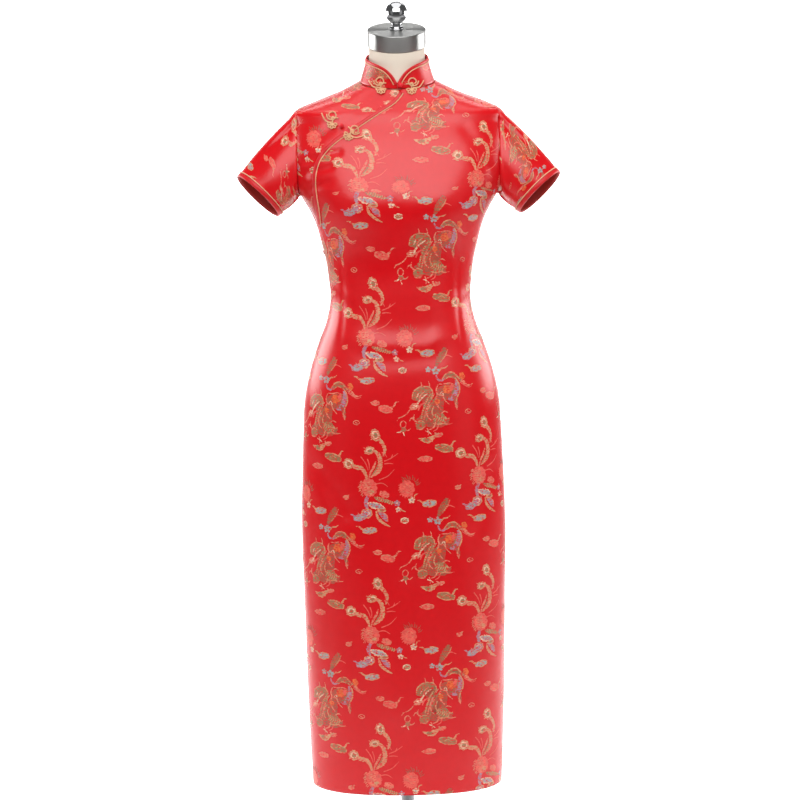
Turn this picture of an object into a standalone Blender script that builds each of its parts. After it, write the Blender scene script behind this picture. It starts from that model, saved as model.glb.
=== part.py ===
"""A short-sleeved cheongsam standing on a limbless dress form.

Metres, +Z up. The front faces -Y and the wearer's left is +X. The origin lies on the floor,
under the middle of the round base. Cloth is a thin wall on one body surface: a stack of rings
whose widths, depths and roundness come from a short table.
"""

import math
from typing import NamedTuple

import bmesh
import bpy
import numpy as np
from mathutils import Matrix, Vector
from mathutils.bvhtree import BVHTree

FRONT, BACK = -1, 1
LEFT, RIGHT = 1, -1  # the wearer's sides

CLOTH = 0.0014  # wall of the brocade
COLLAR_WALL = 0.0016
SEAM_GAP = 0.0003
TRIM_GAP = 0.0005  # under what lies on a panel
BINDING = 0.0008  # folded bias strip, as it stands on the cloth
PIPING_RADIUS = 0.0009
CORD_RADIUS = 0.0011  # gold cord of the frogs
FROG_GAP = 0.0010

HEM_Z = 0.140
SLIT_TOP_Z = 0.699
HEM_CORNER_RADIUS = 0.022
FRONT_SLIT_INSET = 0.0040  # how far the slit's front edge draws back from the side seam
BACK_SLIT_INSET = 0.0008
NECKLINE_Z = 1.4325  # at the side of the neck
ARMHOLE_X = 0.180
UNDERARM_CUT_Z = 1.20  # the armholes are cut only above this

COLLAR_HEIGHT = 0.049
COLLAR_FRONT_HEIGHT = 0.010
COLLAR_CORNER = 0.016  # how fast the rounded front corner reaches full height
COLLAR_FRONT_GAP = 0.0005
COLLAR_LAP = 0.003  # how far below its foot the collar's face is carried, to lay frogs on

SLEEVE_BULGE = 0.004
CUFF_OUTER_TOP = Vector((0.2905, 0, 1.2660))
CUFF_INNER_BOTTOM = Vector((0.2185, 0, 1.1960))
CUFF_HALF_DEPTH = 0.045
CUFF_TURN = math.radians(-13)  # the opening turns forward
CUFF_CENTRE_Y = -0.010
CUFF_BINDING_WIDTH = 0.0075
EDGE_BINDING_WIDTH = 0.0050

FORM_EASE = 0.0060  # form's surface below the cloth's outer face
FORM_SHOULDER_EASE = 0.0021
FORM_HALF_WIDTH = 0.174
FORM_BOTTOM_Z = 0.735
CAP_RADIUS = 0.0525
CAP_HEIGHT = 0.029
CAP_TILT = math.radians(20)
CAP_FOOT = Vector((0, -0.0105, 1.4952))
KNOB_RADIUS = 0.020
POLE_RADIUS = 0.0125
BASE_RADIUS = 0.170
BASE_THICKNESS = 0.012


class BodyRow(NamedTuple):
    """One ring of the dress: a superellipse, deeper or shallower at front and back."""

    side_z: float
    half_width: float
    front: float
    back: float
    roundness: float
    tilt: float


BODY_ROWS = (
    BodyRow(0.1400, 0.1775, 0.1000, 0.1080, 2.35, 0.000),
    BodyRow(0.2900, 0.1826, 0.1030, 0.1100, 2.35, 0.000),
    BodyRow(0.4800, 0.1860, 0.1060, 0.1130, 2.30, 0.000),
    BodyRow(0.6320, 0.1882, 0.1090, 0.1170, 2.30, 0.000),
    BodyRow(0.7440, 0.1845, 0.1120, 0.1210, 2.30, 0.000),
    BodyRow(0.8185, 0.1811, 0.1125, 0.1210, 2.30, 0.000),
    BodyRow(0.8555, 0.1785, 0.1115, 0.1190, 2.30, 0.000),
    BodyRow(0.9108, 0.1673, 0.1080, 0.1110, 2.25, 0.000),
    BodyRow(0.9659, 0.1496, 0.1015, 0.1005, 2.20, 0.000),
    BodyRow(1.0050, 0.1348, 0.0955, 0.0930, 2.20, 0.000),
    BodyRow(1.0446, 0.1276, 0.0920, 0.0890, 2.20, 0.000),
    BodyRow(1.0810, 0.1299, 0.0930, 0.0895, 2.20, 0.000),
    BodyRow(1.1155, 0.1346, 0.0970, 0.0925, 2.25, 0.000),
    BodyRow(1.1499, 0.1427, 0.1050, 0.0965, 2.35, 0.000),
    BodyRow(1.1843, 0.1527, 0.1130, 0.1005, 2.45, 0.000),
    BodyRow(1.2050, 0.1620, 0.1165, 0.1025, 2.50, 0.000),
    BodyRow(1.2302, 0.1770, 0.1165, 0.1045, 2.50, 0.000),
    BodyRow(1.2550, 0.1890, 0.1130, 0.1055, 2.50, 0.010),
    BodyRow(1.2900, 0.1955, 0.1050, 0.1050, 2.50, 0.030),
    BodyRow(1.3300, 0.1950, 0.0935, 0.1010, 2.50, 0.060),
    BodyRow(1.3600, 0.1900, 0.0835, 0.0960, 2.45, 0.090),
    BodyRow(1.3850, 0.1828, 0.0755, 0.0900, 2.40, 0.120),
    BodyRow(1.3922, 0.1648, 0.0725, 0.0865, 2.35, 0.145),
    BodyRow(1.3993, 0.1458, 0.0700, 0.0820, 2.30, 0.175),
    BodyRow(1.4064, 0.1251, 0.0672, 0.0770, 2.25, 0.205),
    BodyRow(1.4135, 0.1062, 0.0645, 0.0715, 2.20, 0.235),
    BodyRow(1.4206, 0.0909, 0.0620, 0.0665, 2.15, 0.262),
    BodyRow(1.4277, 0.0765, 0.0597, 0.0615, 2.10, 0.285),
    BodyRow(1.4325, 0.0675, 0.0580, 0.0580, 2.05, 0.300),
)
BODY_TABLE = np.array(BODY_ROWS)
BODY_SLOPES = np.gradient(BODY_TABLE, BODY_TABLE[:, 0], axis=0)

CLOTH_ROWS_Z = (
    0.140, 0.165, 0.210, 0.300, 0.420, 0.560, 0.650, 0.699, 0.750, 0.800, 0.8555, 0.900,
    0.940, 0.970, 1.005, 1.045, 1.090, 1.135, 1.170, 1.200, 1.2302, 1.252, 1.280, 1.308,
    1.335, 1.360, 1.385, 1.394, 1.403, 1.412, 1.4206, 1.4277, 1.4325,
)
HALF_COLUMNS = 11
EDGE_COLUMNS = (0.955, 0.985, 1.0)  # closer together, to round the hem's corners
QUARTER_STEPS = 160


class Mound(NamedTuple):
    """A soft swelling of the front, alike on both sides."""

    x: float
    z: float
    half_x: float
    half_z: float
    height: float


BUST = Mound(0.078, 1.206, 0.070, 0.052, 0.0085)


class Fold(NamedTuple):
    """A straight soft fold on a panel, from one end to the other, negative where it sinks."""

    facing: int
    x0: float
    z0: float
    x1: float
    z1: float
    half_width: float
    height: float


FOLDS = (
    Fold(FRONT, -0.168, 0.745, -0.105, 0.665, 0.022, -0.0035),
    Fold(FRONT, -0.158, 0.715, -0.110, 0.640, 0.018, 0.0025),
    Fold(FRONT, 0.165, 0.730, 0.120, 0.640, 0.020, -0.0030),
    Fold(FRONT, -0.170, 1.262, -0.134, 1.212, 0.014, -0.0030),
    Fold(FRONT, 0.170, 1.262, 0.134, 1.205, 0.014, -0.0030),
    Fold(FRONT, -0.120, 0.985, -0.060, 0.972, 0.014, 0.0022),
    Fold(FRONT, 0.120, 0.990, 0.065, 0.975, 0.014, 0.0022),
    Fold(BACK, -0.115, 1.060, 0.020, 1.035, 0.016, 0.0030),
    Fold(BACK, 0.118, 1.020, -0.015, 1.000, 0.016, 0.0028),
    Fold(BACK, -0.165, 1.260, -0.120, 1.190, 0.015, -0.0030),
    Fold(BACK, 0.165, 1.260, 0.122, 1.195, 0.015, -0.0030),
    Fold(BACK, -0.168, 0.740, -0.110, 0.650, 0.020, -0.0030),
)

FOLDS_END = 0.86  # share of the way to a side seam, past which folds die out

# The front overlap's edge, seen from the front as (x, z): from the neck, over the chest,
# round the armhole and down into the side seam under the wearer's right arm.
FLAP_EDGE = (
    (0.0080, 1.4300), (0.0060, 1.4140), (-0.0060, 1.3970), (-0.0300, 1.3805),
    (-0.0540, 1.3650), (-0.0800, 1.3480), (-0.1110, 1.3280), (-0.1355, 1.3050),
    (-0.1480, 1.2810), (-0.1520, 1.2570), (-0.1505, 1.2290), (-0.1470, 1.2010),
    (-0.1455, 1.1800), (-0.1475, 1.1600), (-0.1560, 1.1400),
)
FLAP_STEP = 0.009
FLAP_TRIM_TOP_Z, FLAP_TRIM_SIDE_GAP = 1.4125, 0.0042
UNDERLAP_WIDTH = 0.022
UNDERLAP_FOOT_Z = 1.08
UNDERLAP_FULL, UNDERLAP_FLUSH = 0.016, 0.036  # from the flap's edge, fully under, and level


class NeckRow(NamedTuple):
    """One ring of the form's neck."""

    side_z: float
    half_width: float
    half_depth: float
    centre_y: float
    tilt: float


COLLAR_FOOT = NeckRow(NECKLINE_Z, 0.0672, 0.0578, 0.000, 0.300)
COLLAR_TOP = NeckRow(1.4742, 0.0549, 0.0565, -0.008, 0.320)
FORM_NECK = (
    NeckRow(1.4262, 0.0690, 0.0545, 0.000, 0.290),
    NeckRow(1.4310, 0.0612, 0.0530, -0.0005, 0.295),
    NeckRow(1.4390, 0.0570, 0.0518, -0.0015, 0.300),
    NeckRow(1.4500, 0.0530, 0.0505, -0.003, 0.310),
    NeckRow(1.4640, 0.0510, 0.0498, -0.005, 0.325),
    NeckRow(1.4780, 0.0502, 0.0496, -0.0075, 0.345),
    NeckRow(1.4947, 0.0502, 0.0496, -0.0102, math.tan(CAP_TILT)),
)


class Frog(NamedTuple):
    """A corded fastening ornament, by its middle seen from the front, and its lean."""

    name: str
    x: float
    z: float
    lean: float
    mirrored: bool


FROGS = (
    Frog("frog_collar_right", -0.0300, 1.4205, 0.10, False),
    Frog("frog_collar_left", 0.0300, 1.4205, -0.10, True),
    Frog("frog_chest_right", -0.1155, 1.3580, 0.35, False),
    Frog("frog_chest_left", -0.0815, 1.3320, 0.35, True),
)


class Knot(NamedTuple):
    """A ball knot of a fastening, by its middle seen from the front."""

    name: str
    x: float
    z: float
    clear: float  # from what the frogs are laid on; less than none where that is the piping
    look: str


KNOTS = (
    Knot("knot_collar", 0.0062, 1.4167, 0.0006, "binding"),
    Knot("knot_chest", -0.0974, 1.3366, -0.0006, "gold_cord"),
)
PETAL_LEANS = (-2.45, -1.57, -0.70)
PETAL_LENGTH, PETAL_WIDTH = 0.0165, 0.0095
COIL_RADIUS, COIL_TURNS = 0.0062, 1.6
TENDRIL_REACH, TENDRIL_CURL = 0.0125, 0.0050
KNOT_RADIUS = 0.0036

MATERIALS = {
    "brocade": ((0.52, 0.005, 0.010), 0.35, 0.0),
    "binding": ((0.45, 0.004, 0.008), 0.45, 0.0),
    "gold_cord": ((0.66, 0.42, 0.17), 0.40, 0.0),
    "form": ((0.80, 0.74, 0.62), 0.60, 0.0),
    "steel": ((0.55, 0.55, 0.55), 0.30, 1.0),
    "chrome": ((0.75, 0.75, 0.76), 0.08, 1.0),
    "stand": ((0.42, 0.42, 0.43), 0.35, 1.0),
}


# ---------------------------------------------------------------- the dress's surface


def body_row(z):
    """The body's ring at side height z, on a smooth curve through the table's rows."""
    heights = BODY_TABLE[:, 0]
    z = min(max(z, heights[0]), heights[-1])
    i = min(max(int(np.searchsorted(heights, z)) - 1, 0), len(heights) - 2)
    span = heights[i + 1] - heights[i]
    t = (z - heights[i]) / span
    rise, fall = t * t * (3 - 2 * t), t * (t - 1)
    values = BODY_TABLE[i] * (1 - rise) + BODY_TABLE[i + 1] * rise
    values = values + span * fall * ((t - 1) * BODY_SLOPES[i] + t * BODY_SLOPES[i + 1])
    return BodyRow(*values)


def smoothstep(low, high, value):
    t = min(max((value - low) / (high - low), 0.0), 1.0)
    return t * t * (3 - 2 * t)


def bust_height(x, z):
    return BUST.height * math.exp(
        -(((abs(x) - BUST.x) / BUST.half_x) ** 2) - ((z - BUST.z) / BUST.half_z) ** 2
    )


def fold_height(facing, x, z):
    """How far the folds lift the cloth at a place."""
    lift = 0.0
    for fold in FOLDS:
        if fold.facing != facing:
            continue
        dx, dz = fold.x1 - fold.x0, fold.z1 - fold.z0
        length = math.hypot(dx, dz)
        along = ((x - fold.x0) * dx + (z - fold.z0) * dz) / length
        across = ((x - fold.x0) * dz - (z - fold.z0) * dx) / length
        beyond = max(-along, along - length, 0.0)
        lift += fold.height * math.exp(
            -((across / fold.half_width) ** 2) - (beyond / fold.half_width) ** 2
        )
    return lift


def quarter(row, facing, cut=True):
    """(x, y, distance) along a ring, from the centre line to its side or to the armhole."""
    widest = ARMHOLE_X if cut and row.side_z > UNDERARM_CUT_Z else math.inf
    t = np.linspace(0.0, math.pi / 2, QUARTER_STEPS)
    x = row.half_width * np.sin(t) ** (2 / row.roundness)
    depth = row.front if facing == FRONT else row.back
    y = facing * depth * np.cos(t) ** (2 / row.roundness)
    if row.half_width > widest:
        end = int(np.searchsorted(x, widest))
        y_end = np.interp(widest, x, y)
        x, y = np.append(x[:end], widest), np.append(y[:end], y_end)
    steps = np.hypot(np.diff(x), np.diff(y))
    return x, y, np.concatenate([[0.0], np.cumsum(steps)])


def edge_inset(z, facing):
    """How far a panel's edge stays from the side seam's line, more along the slit."""
    opening = smoothstep(SLIT_TOP_Z, SLIT_TOP_Z - 0.10, z) if z < SLIT_TOP_Z else 0.0
    inset = FRONT_SLIT_INSET if facing == FRONT else BACK_SLIT_INSET
    return SEAM_GAP / 2 + inset * opening


def body_point(z, share, facing):
    """A point of the cloth's outer face: share runs from -1 to 1 between the side seams."""
    row = body_row(z)
    x, y, distance = quarter(row, facing)
    reach = distance[-1] - edge_inset(z, facing)
    at = abs(share) * reach
    px, py = float(np.interp(at, distance, x)), float(np.interp(at, distance, y))
    px = math.copysign(px, share) if share else 0.0
    pz = row.side_z + row.tilt * py
    lift = fold_height(facing, px, pz) * (1 - smoothstep(FOLDS_END, 1.0, abs(share)))
    if facing == FRONT:
        lift += bust_height(px, pz)
    return Vector((px, py + facing * lift, pz))


def column_shares():
    inner = [EDGE_COLUMNS[0] * i / (HALF_COLUMNS - 3) for i in range(1, HALF_COLUMNS - 3)]
    half = inner + list(EDGE_COLUMNS)
    return [-share for share in reversed(half)] + [0.0] + half


def hem_lift(z, share, reach):
    """How much the hem's rounded corner lifts a row."""
    from_edge = (1 - abs(share)) * reach
    if from_edge >= HEM_CORNER_RADIUS:
        return 0.0
    run = HEM_CORNER_RADIUS - from_edge
    rise = HEM_CORNER_RADIUS - math.sqrt(HEM_CORNER_RADIUS**2 - run**2)
    return rise * (1 - smoothstep(HEM_Z, HEM_Z + 0.07, z))


def panel_grid(facing):
    """Rows of outer points of the front or back, from the hem up."""
    grid = []
    for z in CLOTH_ROWS_Z:
        reach = quarter(body_row(z), facing)[2][-1]
        shares = column_shares()
        grid.append([body_point(z + hem_lift(z, s, reach), s, facing) for s in shares])
    return grid


# ---------------------------------------------------------------- making objects


def material(name):
    found = bpy.data.materials.get(name)
    if found:
        return found
    colour, roughness, metallic = MATERIALS[name]
    made = bpy.data.materials.new(name)
    made.use_nodes = True
    shader = made.node_tree.nodes["Principled BSDF"]
    shader.inputs["Base Color"].default_value = (*colour, 1.0)
    shader.inputs["Roughness"].default_value = roughness
    shader.inputs["Metallic"].default_value = metallic
    made.diffuse_color = (*colour, 1.0)
    return made


def collection(name):
    made = bpy.data.collections.new(name)
    bpy.context.scene.collection.children.link(made)
    return made


def add_object(name, data, look, home):
    made = bpy.data.objects.new(name, data)
    if look:
        data.materials.append(material(look))
    home.objects.link(made)
    return made


def grid_mesh(name, grid, outward, ring=False):
    """An open surface through rows of points, with its faces turned the way of outward."""
    mesh = bpy.data.meshes.new(name)
    work = bmesh.new()
    rows = [[work.verts.new(point) for point in row] for row in grid]
    count = len(grid[0])
    for lower, upper in zip(rows, rows[1:]):
        for i in range(count if ring else count - 1):
            j = (i + 1) % count
            work.faces.new((lower[i], lower[j], upper[j], upper[i]))
    work.normal_update()
    work.faces.ensure_lookup_table()
    middle = work.faces[len(work.faces) // 2]
    if middle.normal.dot(outward(middle.calc_center_median())) < 0:
        bmesh.ops.reverse_faces(work, faces=work.faces)
    bmesh.ops.triangulate(work, faces=work.faces, quad_method="FIXED")
    work.to_mesh(mesh)
    work.free()
    mesh.shade_smooth()
    return mesh


def wall(made, thickness, outside=False):
    """Gives an open surface its thickness, inwards, or outwards for what lies on it."""
    solid = made.modifiers.new("Wall", "SOLIDIFY")
    solid.thickness = thickness
    solid.offset = 1.0 if outside else -1.0
    solid.use_even_offset = False
    return made


def tube(name, points, radius, look, home, closed=False):
    """A square-sectioned stand-in for a cord along the points."""
    curve = bpy.data.curves.new(name, "CURVE")
    curve.dimensions = "3D"
    curve.bevel_depth = radius
    curve.bevel_resolution = 0
    curve.use_fill_caps = not closed
    spline = curve.splines.new("POLY")
    spline.points.add(len(points) - 1)
    for slot, point in zip(spline.points, points):
        slot.co = (*point, 1.0)
    spline.use_cyclic_u = closed
    return add_object(name, curve, look, home)


def to_mesh(made, home):
    """A mesh object in place of a curve object, with its caps welded."""
    bpy.context.view_layer.update()
    graph = bpy.context.evaluated_depsgraph_get()
    mesh = bpy.data.meshes.new_from_object(made.evaluated_get(graph))
    work = bmesh.new()
    work.from_mesh(mesh)
    bmesh.ops.remove_doubles(work, verts=work.verts, dist=0.00001)
    bmesh.ops.recalc_face_normals(work, faces=work.faces)
    work.to_mesh(mesh)
    work.free()
    name = made.name
    swap = bpy.data.objects.new(name + "_mesh", mesh)
    swap.matrix_world = made.matrix_world.copy()
    home.objects.link(swap)
    bpy.data.objects.remove(made)
    swap.name = name
    return swap


def boolean(made, other, operation):
    cut = made.modifiers.new(operation.title(), "BOOLEAN")
    cut.operation = operation
    cut.object = other
    cut.solver = "EXACT"
    return made


def hide_cutter(made):
    made.hide_render = True
    made.display_type = "WIRE"
    return made


def resample(points, step):
    """Evenly spaced points along a smooth curve through the given ones."""
    through = np.array([tuple(point) for point in points])
    chords = np.linalg.norm(np.diff(through, axis=0), axis=1)
    at = np.concatenate([[0.0], np.cumsum(chords)])
    slopes = np.gradient(through, at, axis=0)
    fine = []
    for i, chord in enumerate(chords):
        for t in np.linspace(0.0, 1.0, 24, endpoint=False):
            rise, fall = t * t * (3 - 2 * t), t * (t - 1)
            point = through[i] * (1 - rise) + through[i + 1] * rise
            fine.append(point + chord * fall * ((t - 1) * slopes[i] + t * slopes[i + 1]))
    fine = np.array([*fine, through[-1]])
    length = np.concatenate([[0.0], np.cumsum(np.linalg.norm(np.diff(fine, axis=0), axis=1))])
    count = max(2, round(length[-1] / step) + 1)
    places = np.linspace(0.0, length[-1], count)
    return [tuple(np.interp(p, length, axis) for axis in fine.T) for p in places]


def offset_path(path, distance):
    """A flat path moved to its left by a distance."""
    flat = np.array(path)
    run = np.gradient(flat, axis=0)
    run /= np.linalg.norm(run, axis=1)[:, None]
    return [(x - distance * v, z + distance * u) for (x, z), (u, v) in zip(flat, run)]


def surface_tree(grid, ring=False):
    """A search tree over a grid's surface, for laying things on it."""
    count = len(grid[0])
    points = [point for row in grid for point in row]
    faces = [
        (k * count + i, k * count + (i + 1) % count,
         (k + 1) * count + (i + 1) % count, (k + 1) * count + i)
        for k in range(len(grid) - 1)
        for i in range(count if ring else count - 1)
    ]
    return BVHTree.FromPolygons(points, faces)


def onto_front(trees, x, z, height):
    """The place on the foremost surface at (x, z), lifted along its normal."""
    hits = [tree.ray_cast(Vector((x, -1.0, z)), Vector((0, 1, 0)), 1.0) for tree in trees]
    if not any(hit[0] for hit in hits):  # past the cloth's edge
        return onto_front(trees, x * 0.99, z - 0.001, height)
    place, normal = min((hit[:2] for hit in hits if hit[0]), key=lambda hit: hit[0].y)
    if normal.y > 0:
        normal = -normal
    return place + normal * height


# ---------------------------------------------------------------- body panels


def flap_cutter(name, extra, home):
    """A block, seen from the front as all that lies above the flap's edge."""
    edge = resample(FLAP_EDGE, FLAP_STEP)
    edge = offset_path(edge, extra)
    (x0, _), (_, z1) = edge[0], edge[-1]
    outline = [(x0, 1.50), *edge, (-0.26, z1), (-0.26, 1.50)]
    curve = bpy.data.curves.new(name, "CURVE")
    curve.dimensions = "2D"
    curve.fill_mode = "BOTH"
    curve.extrude = 0.15
    spline = curve.splines.new("POLY")
    spline.points.add(len(outline) - 1)
    for slot, (x, z) in zip(spline.points, outline):
        slot.co = (x, z, 0.0, 1.0)
    spline.use_cyclic_u = True
    made = add_object(name, curve, None, home)
    made.matrix_world = Matrix.Translation((0, -0.13, 0)) @ Matrix.Rotation(math.pi / 2, 4, "X")
    return hide_cutter(to_mesh(made, home))


def distance_past_flap(x, z, edge):
    """Distance from the flap's edge, positive on the underlap's side."""
    best, signed = 1e9, 0.0
    for (x0, z0), (x1, z1) in zip(edge, edge[1:]):
        dx, dz = x1 - x0, z1 - z0
        along = ((x - x0) * dx + (z - z0) * dz) / (dx * dx + dz * dz)
        along = min(max(along, 0.0), 1.0)
        gap = math.hypot(x - x0 - along * dx, z - z0 - along * dz)
        if gap < best:
            side = dx * (z - z0) - dz * (x - x0)
            best, signed = gap, math.copysign(gap, -side)
    return signed


def toward_front(centre):
    return Vector((0, FRONT, 0))


def toward_back(centre):
    return Vector((0, BACK, 0))


def underlap_mesh(grid):
    """The underlap's surface: level with the front, but sunk below it under the flap."""
    mesh = grid_mesh("front_underlap", grid, toward_front)
    edge = resample(FLAP_EDGE, FLAP_STEP)
    sunk = CLOTH + SEAM_GAP + 0.0001
    normals = [vertex.normal.copy() for vertex in mesh.vertices]
    for vertex, normal in zip(mesh.vertices, normals):
        past = distance_past_flap(vertex.co.x, vertex.co.z, edge)
        vertex.co -= normal * sunk * (1 - smoothstep(UNDERLAP_FULL, UNDERLAP_FLUSH, past))
    return mesh


def make_body(home, cutters):
    """Front, underlap and back."""
    front_grid, back_grid = panel_grid(FRONT), panel_grid(BACK)
    front_mesh = grid_mesh("front_panel", front_grid, toward_front)
    front = wall(add_object("front_panel", front_mesh, "brocade", home), CLOTH)
    boolean(front, flap_cutter("flap_cutter", 0.0, cutters), "DIFFERENCE")
    chest = [row for row, z in zip(front_grid, CLOTH_ROWS_Z) if z > UNDERLAP_FOOT_Z]
    underlap = wall(add_object("front_underlap", underlap_mesh(chest), "brocade", home), CLOTH)
    boolean(underlap, flap_cutter("underlap_cutter", UNDERLAP_WIDTH, cutters), "INTERSECT")
    back_mesh = grid_mesh("back_panel", back_grid, toward_back)
    wall(add_object("back_panel", back_mesh, "brocade", home), CLOTH)
    return front_grid, back_grid


def make_flap_trim(trees, home):
    """The binding along the flap's edge and the piping beside it; returns what frogs clear."""
    edge = [
        (x, z)
        for x, z in resample(FLAP_EDGE, FLAP_STEP)
        if z < FLAP_TRIM_TOP_Z and -x < body_row(z).half_width - FLAP_TRIM_SIDE_GAP
    ]
    lanes = np.linspace(0.0004, EDGE_BINDING_WIDTH, 3)
    strip = [
        [onto_front(trees, x, z, TRIM_GAP) for x, z in offset_path(edge, lane)] for lane in lanes
    ]
    mesh = grid_mesh("flap_binding", strip, toward_front)
    wall(add_object("flap_binding", mesh, "binding", home), BINDING, outside=True)
    lane = EDGE_BINDING_WIDTH + TRIM_GAP + PIPING_RADIUS
    height = PIPING_RADIUS + TRIM_GAP
    cord = [onto_front(trees, x, z, height) for x, z in offset_path(edge, lane)]
    tube("flap_piping", cord, PIPING_RADIUS, "gold_cord", home)
    over = height + PIPING_RADIUS
    saddle = ((-0.006, 0.0), (-0.0005, over), (lane + PIPING_RADIUS, over), (lane + 0.006, 0.0))
    return surface_tree([
        [onto_front(trees, x, z, lift) for x, z in offset_path(edge, lane)]
        for lane, lift in saddle
    ])


# ---------------------------------------------------------------- sleeves


def armhole_loop(front_grid, back_grid, side):
    """The armhole's edge as a closed loop, from the shoulder down the front and up the back."""
    rows = [k for k, z in enumerate(CLOTH_ROWS_Z) if 1.2302 <= z <= 1.385]
    column = -1 if side == LEFT else 0
    down = [front_grid[k][column] for k in reversed(rows)]
    up = [back_grid[k][column] for k in rows]
    return down + up


def closed_resample(loop, count):
    points = np.array([tuple(p) for p in loop] + [tuple(loop[0])])
    at = np.concatenate([[0.0], np.cumsum(np.linalg.norm(np.diff(points, axis=0), axis=1))])
    places = np.linspace(0.0, at[-1], count, endpoint=False)
    return [Vector([float(np.interp(p, at, axis)) for axis in points.T]) for p in places]


def cuff_ring(side, count):
    """The cuff's edge: an ellipse across the sleeve, turned a little forward."""
    tall = (CUFF_OUTER_TOP - CUFF_INNER_BOTTOM) / 2
    centre = (CUFF_OUTER_TOP + CUFF_INNER_BOTTOM) / 2 + Vector((0, CUFF_CENTRE_Y, 0))
    forward = Matrix.Rotation(CUFF_TURN, 3, tall.normalized()) @ Vector((0, -1, 0))
    ring = []
    for i in range(count):
        angle = math.tau * i / count
        point = centre + tall * math.cos(angle) + forward * CUFF_HALF_DEPTH * math.sin(angle)
        ring.append(Vector((side * point.x, point.y, point.z)))
    return ring


SLEEVE_ROUND = 32
SLEEVE_STATIONS = (0.0, 0.03, 0.14, 0.30, 0.48, 0.65, 0.81, 1.0)


def sleeve_point(start, end, share, centre):
    """A point between the armhole and the cuff, bulged a little from the sleeve's middle."""
    point = start.lerp(end, share)
    away = (point - centre).normalized()
    return point + away * SLEEVE_BULGE * math.sin(math.pi * share)


def sleeve_grid(front_grid, back_grid, side, stations):
    loop = closed_resample(armhole_loop(front_grid, back_grid, side), SLEEVE_ROUND)
    start = [p + Vector((side * SEAM_GAP, 0, 0)) for p in loop]
    end = cuff_ring(side, SLEEVE_ROUND)
    grid = []
    for share in stations:
        if share == SLEEVE_STATIONS[1]:
            grid.append([p + Vector((side * 0.0035, 0, 0)) for p in start])
            continue
        middle = sum((a.lerp(b, share) for a, b in zip(start, end)), Vector()) / SLEEVE_ROUND
        grid.append([sleeve_point(a, b, share, middle) for a, b in zip(start, end)])
    return grid


def make_sleeve(front_grid, back_grid, side, home):
    """One set-in sleeve with its bound and piped cuff."""
    name = "left" if side == LEFT else "right"
    grid = sleeve_grid(front_grid, back_grid, side, SLEEVE_STATIONS)
    middle = sum((p for row in grid for p in row), Vector()) / (len(grid) * SLEEVE_ROUND)

    def outward(centre):
        return centre - middle

    mesh = grid_mesh("sleeve_" + name, grid, outward, ring=True)
    sleeve = wall(add_object("sleeve_" + name, mesh, "brocade", home), CLOTH)
    normals = [vertex.normal.copy() for vertex in sleeve.data.vertices]
    edge, above = grid[-1], grid[-2]
    edge_normals = normals[-SLEEVE_ROUND:]

    def lane(distance, height):
        return [
            e + (a - e).normalized() * distance + n * height
            for e, a, n in zip(edge, above, edge_normals)
        ]

    band = [lane(0.0, TRIM_GAP), lane(CUFF_BINDING_WIDTH, TRIM_GAP)]
    mesh = grid_mesh("cuff_binding_" + name, band, outward, ring=True)
    wall(add_object("cuff_binding_" + name, mesh, "binding", home), BINDING, outside=True)
    cord = lane(CUFF_BINDING_WIDTH + TRIM_GAP + PIPING_RADIUS, TRIM_GAP + PIPING_RADIUS)
    tube("cuff_piping_" + name, cord, PIPING_RADIUS, "gold_cord", home, closed=True)


# ---------------------------------------------------------------- collar


def neck_ring_point(row, angle):
    """A point of a neck ring, its angle counted from the centre front toward the left."""
    y = row.centre_y - row.half_depth * math.cos(angle)
    z = row.side_z + row.tilt * (y - row.centre_y)
    return Vector((row.half_width * math.sin(angle), y, z))


COLLAR_REACH = math.pi * math.sqrt((COLLAR_FOOT.half_width**2 + COLLAR_FOOT.half_depth**2) / 2)


def collar_point(run, height, lift=0.0):
    """A point of the stand collar: run round the neck from the centre front, height up it."""
    angle = math.pi * run / COLLAR_REACH
    foot = neck_ring_point(COLLAR_FOOT, angle) + Vector((0, 0, SEAM_GAP + 0.0002))
    top = neck_ring_point(COLLAR_TOP, angle)
    out = Vector((math.sin(angle), -math.cos(angle), 0.22)).normalized()
    return foot.lerp(top, height / COLLAR_HEIGHT) + out * lift


def collar_edge(count):
    """(run, height) along the collar's upper edge from the right front end to the left one."""
    runs = np.linspace(COLLAR_FRONT_GAP, COLLAR_REACH, 400)
    rise = 1 - np.exp(-(runs - COLLAR_FRONT_GAP) / COLLAR_CORNER)
    heights = COLLAR_FRONT_HEIGHT + (COLLAR_HEIGHT - COLLAR_FRONT_HEIGHT) * rise
    at = np.concatenate([[0.0], np.cumsum(np.hypot(np.diff(runs), np.diff(heights)))])
    places = np.linspace(0.0, at[-1], count)
    half = [(float(np.interp(p, at, runs)), float(np.interp(p, at, heights))) for p in places]
    return [(-run, height) for run, height in half[:-1]] + [
        (run - 2 * COLLAR_REACH, height) for run, height in half[::-1]
    ]


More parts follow.
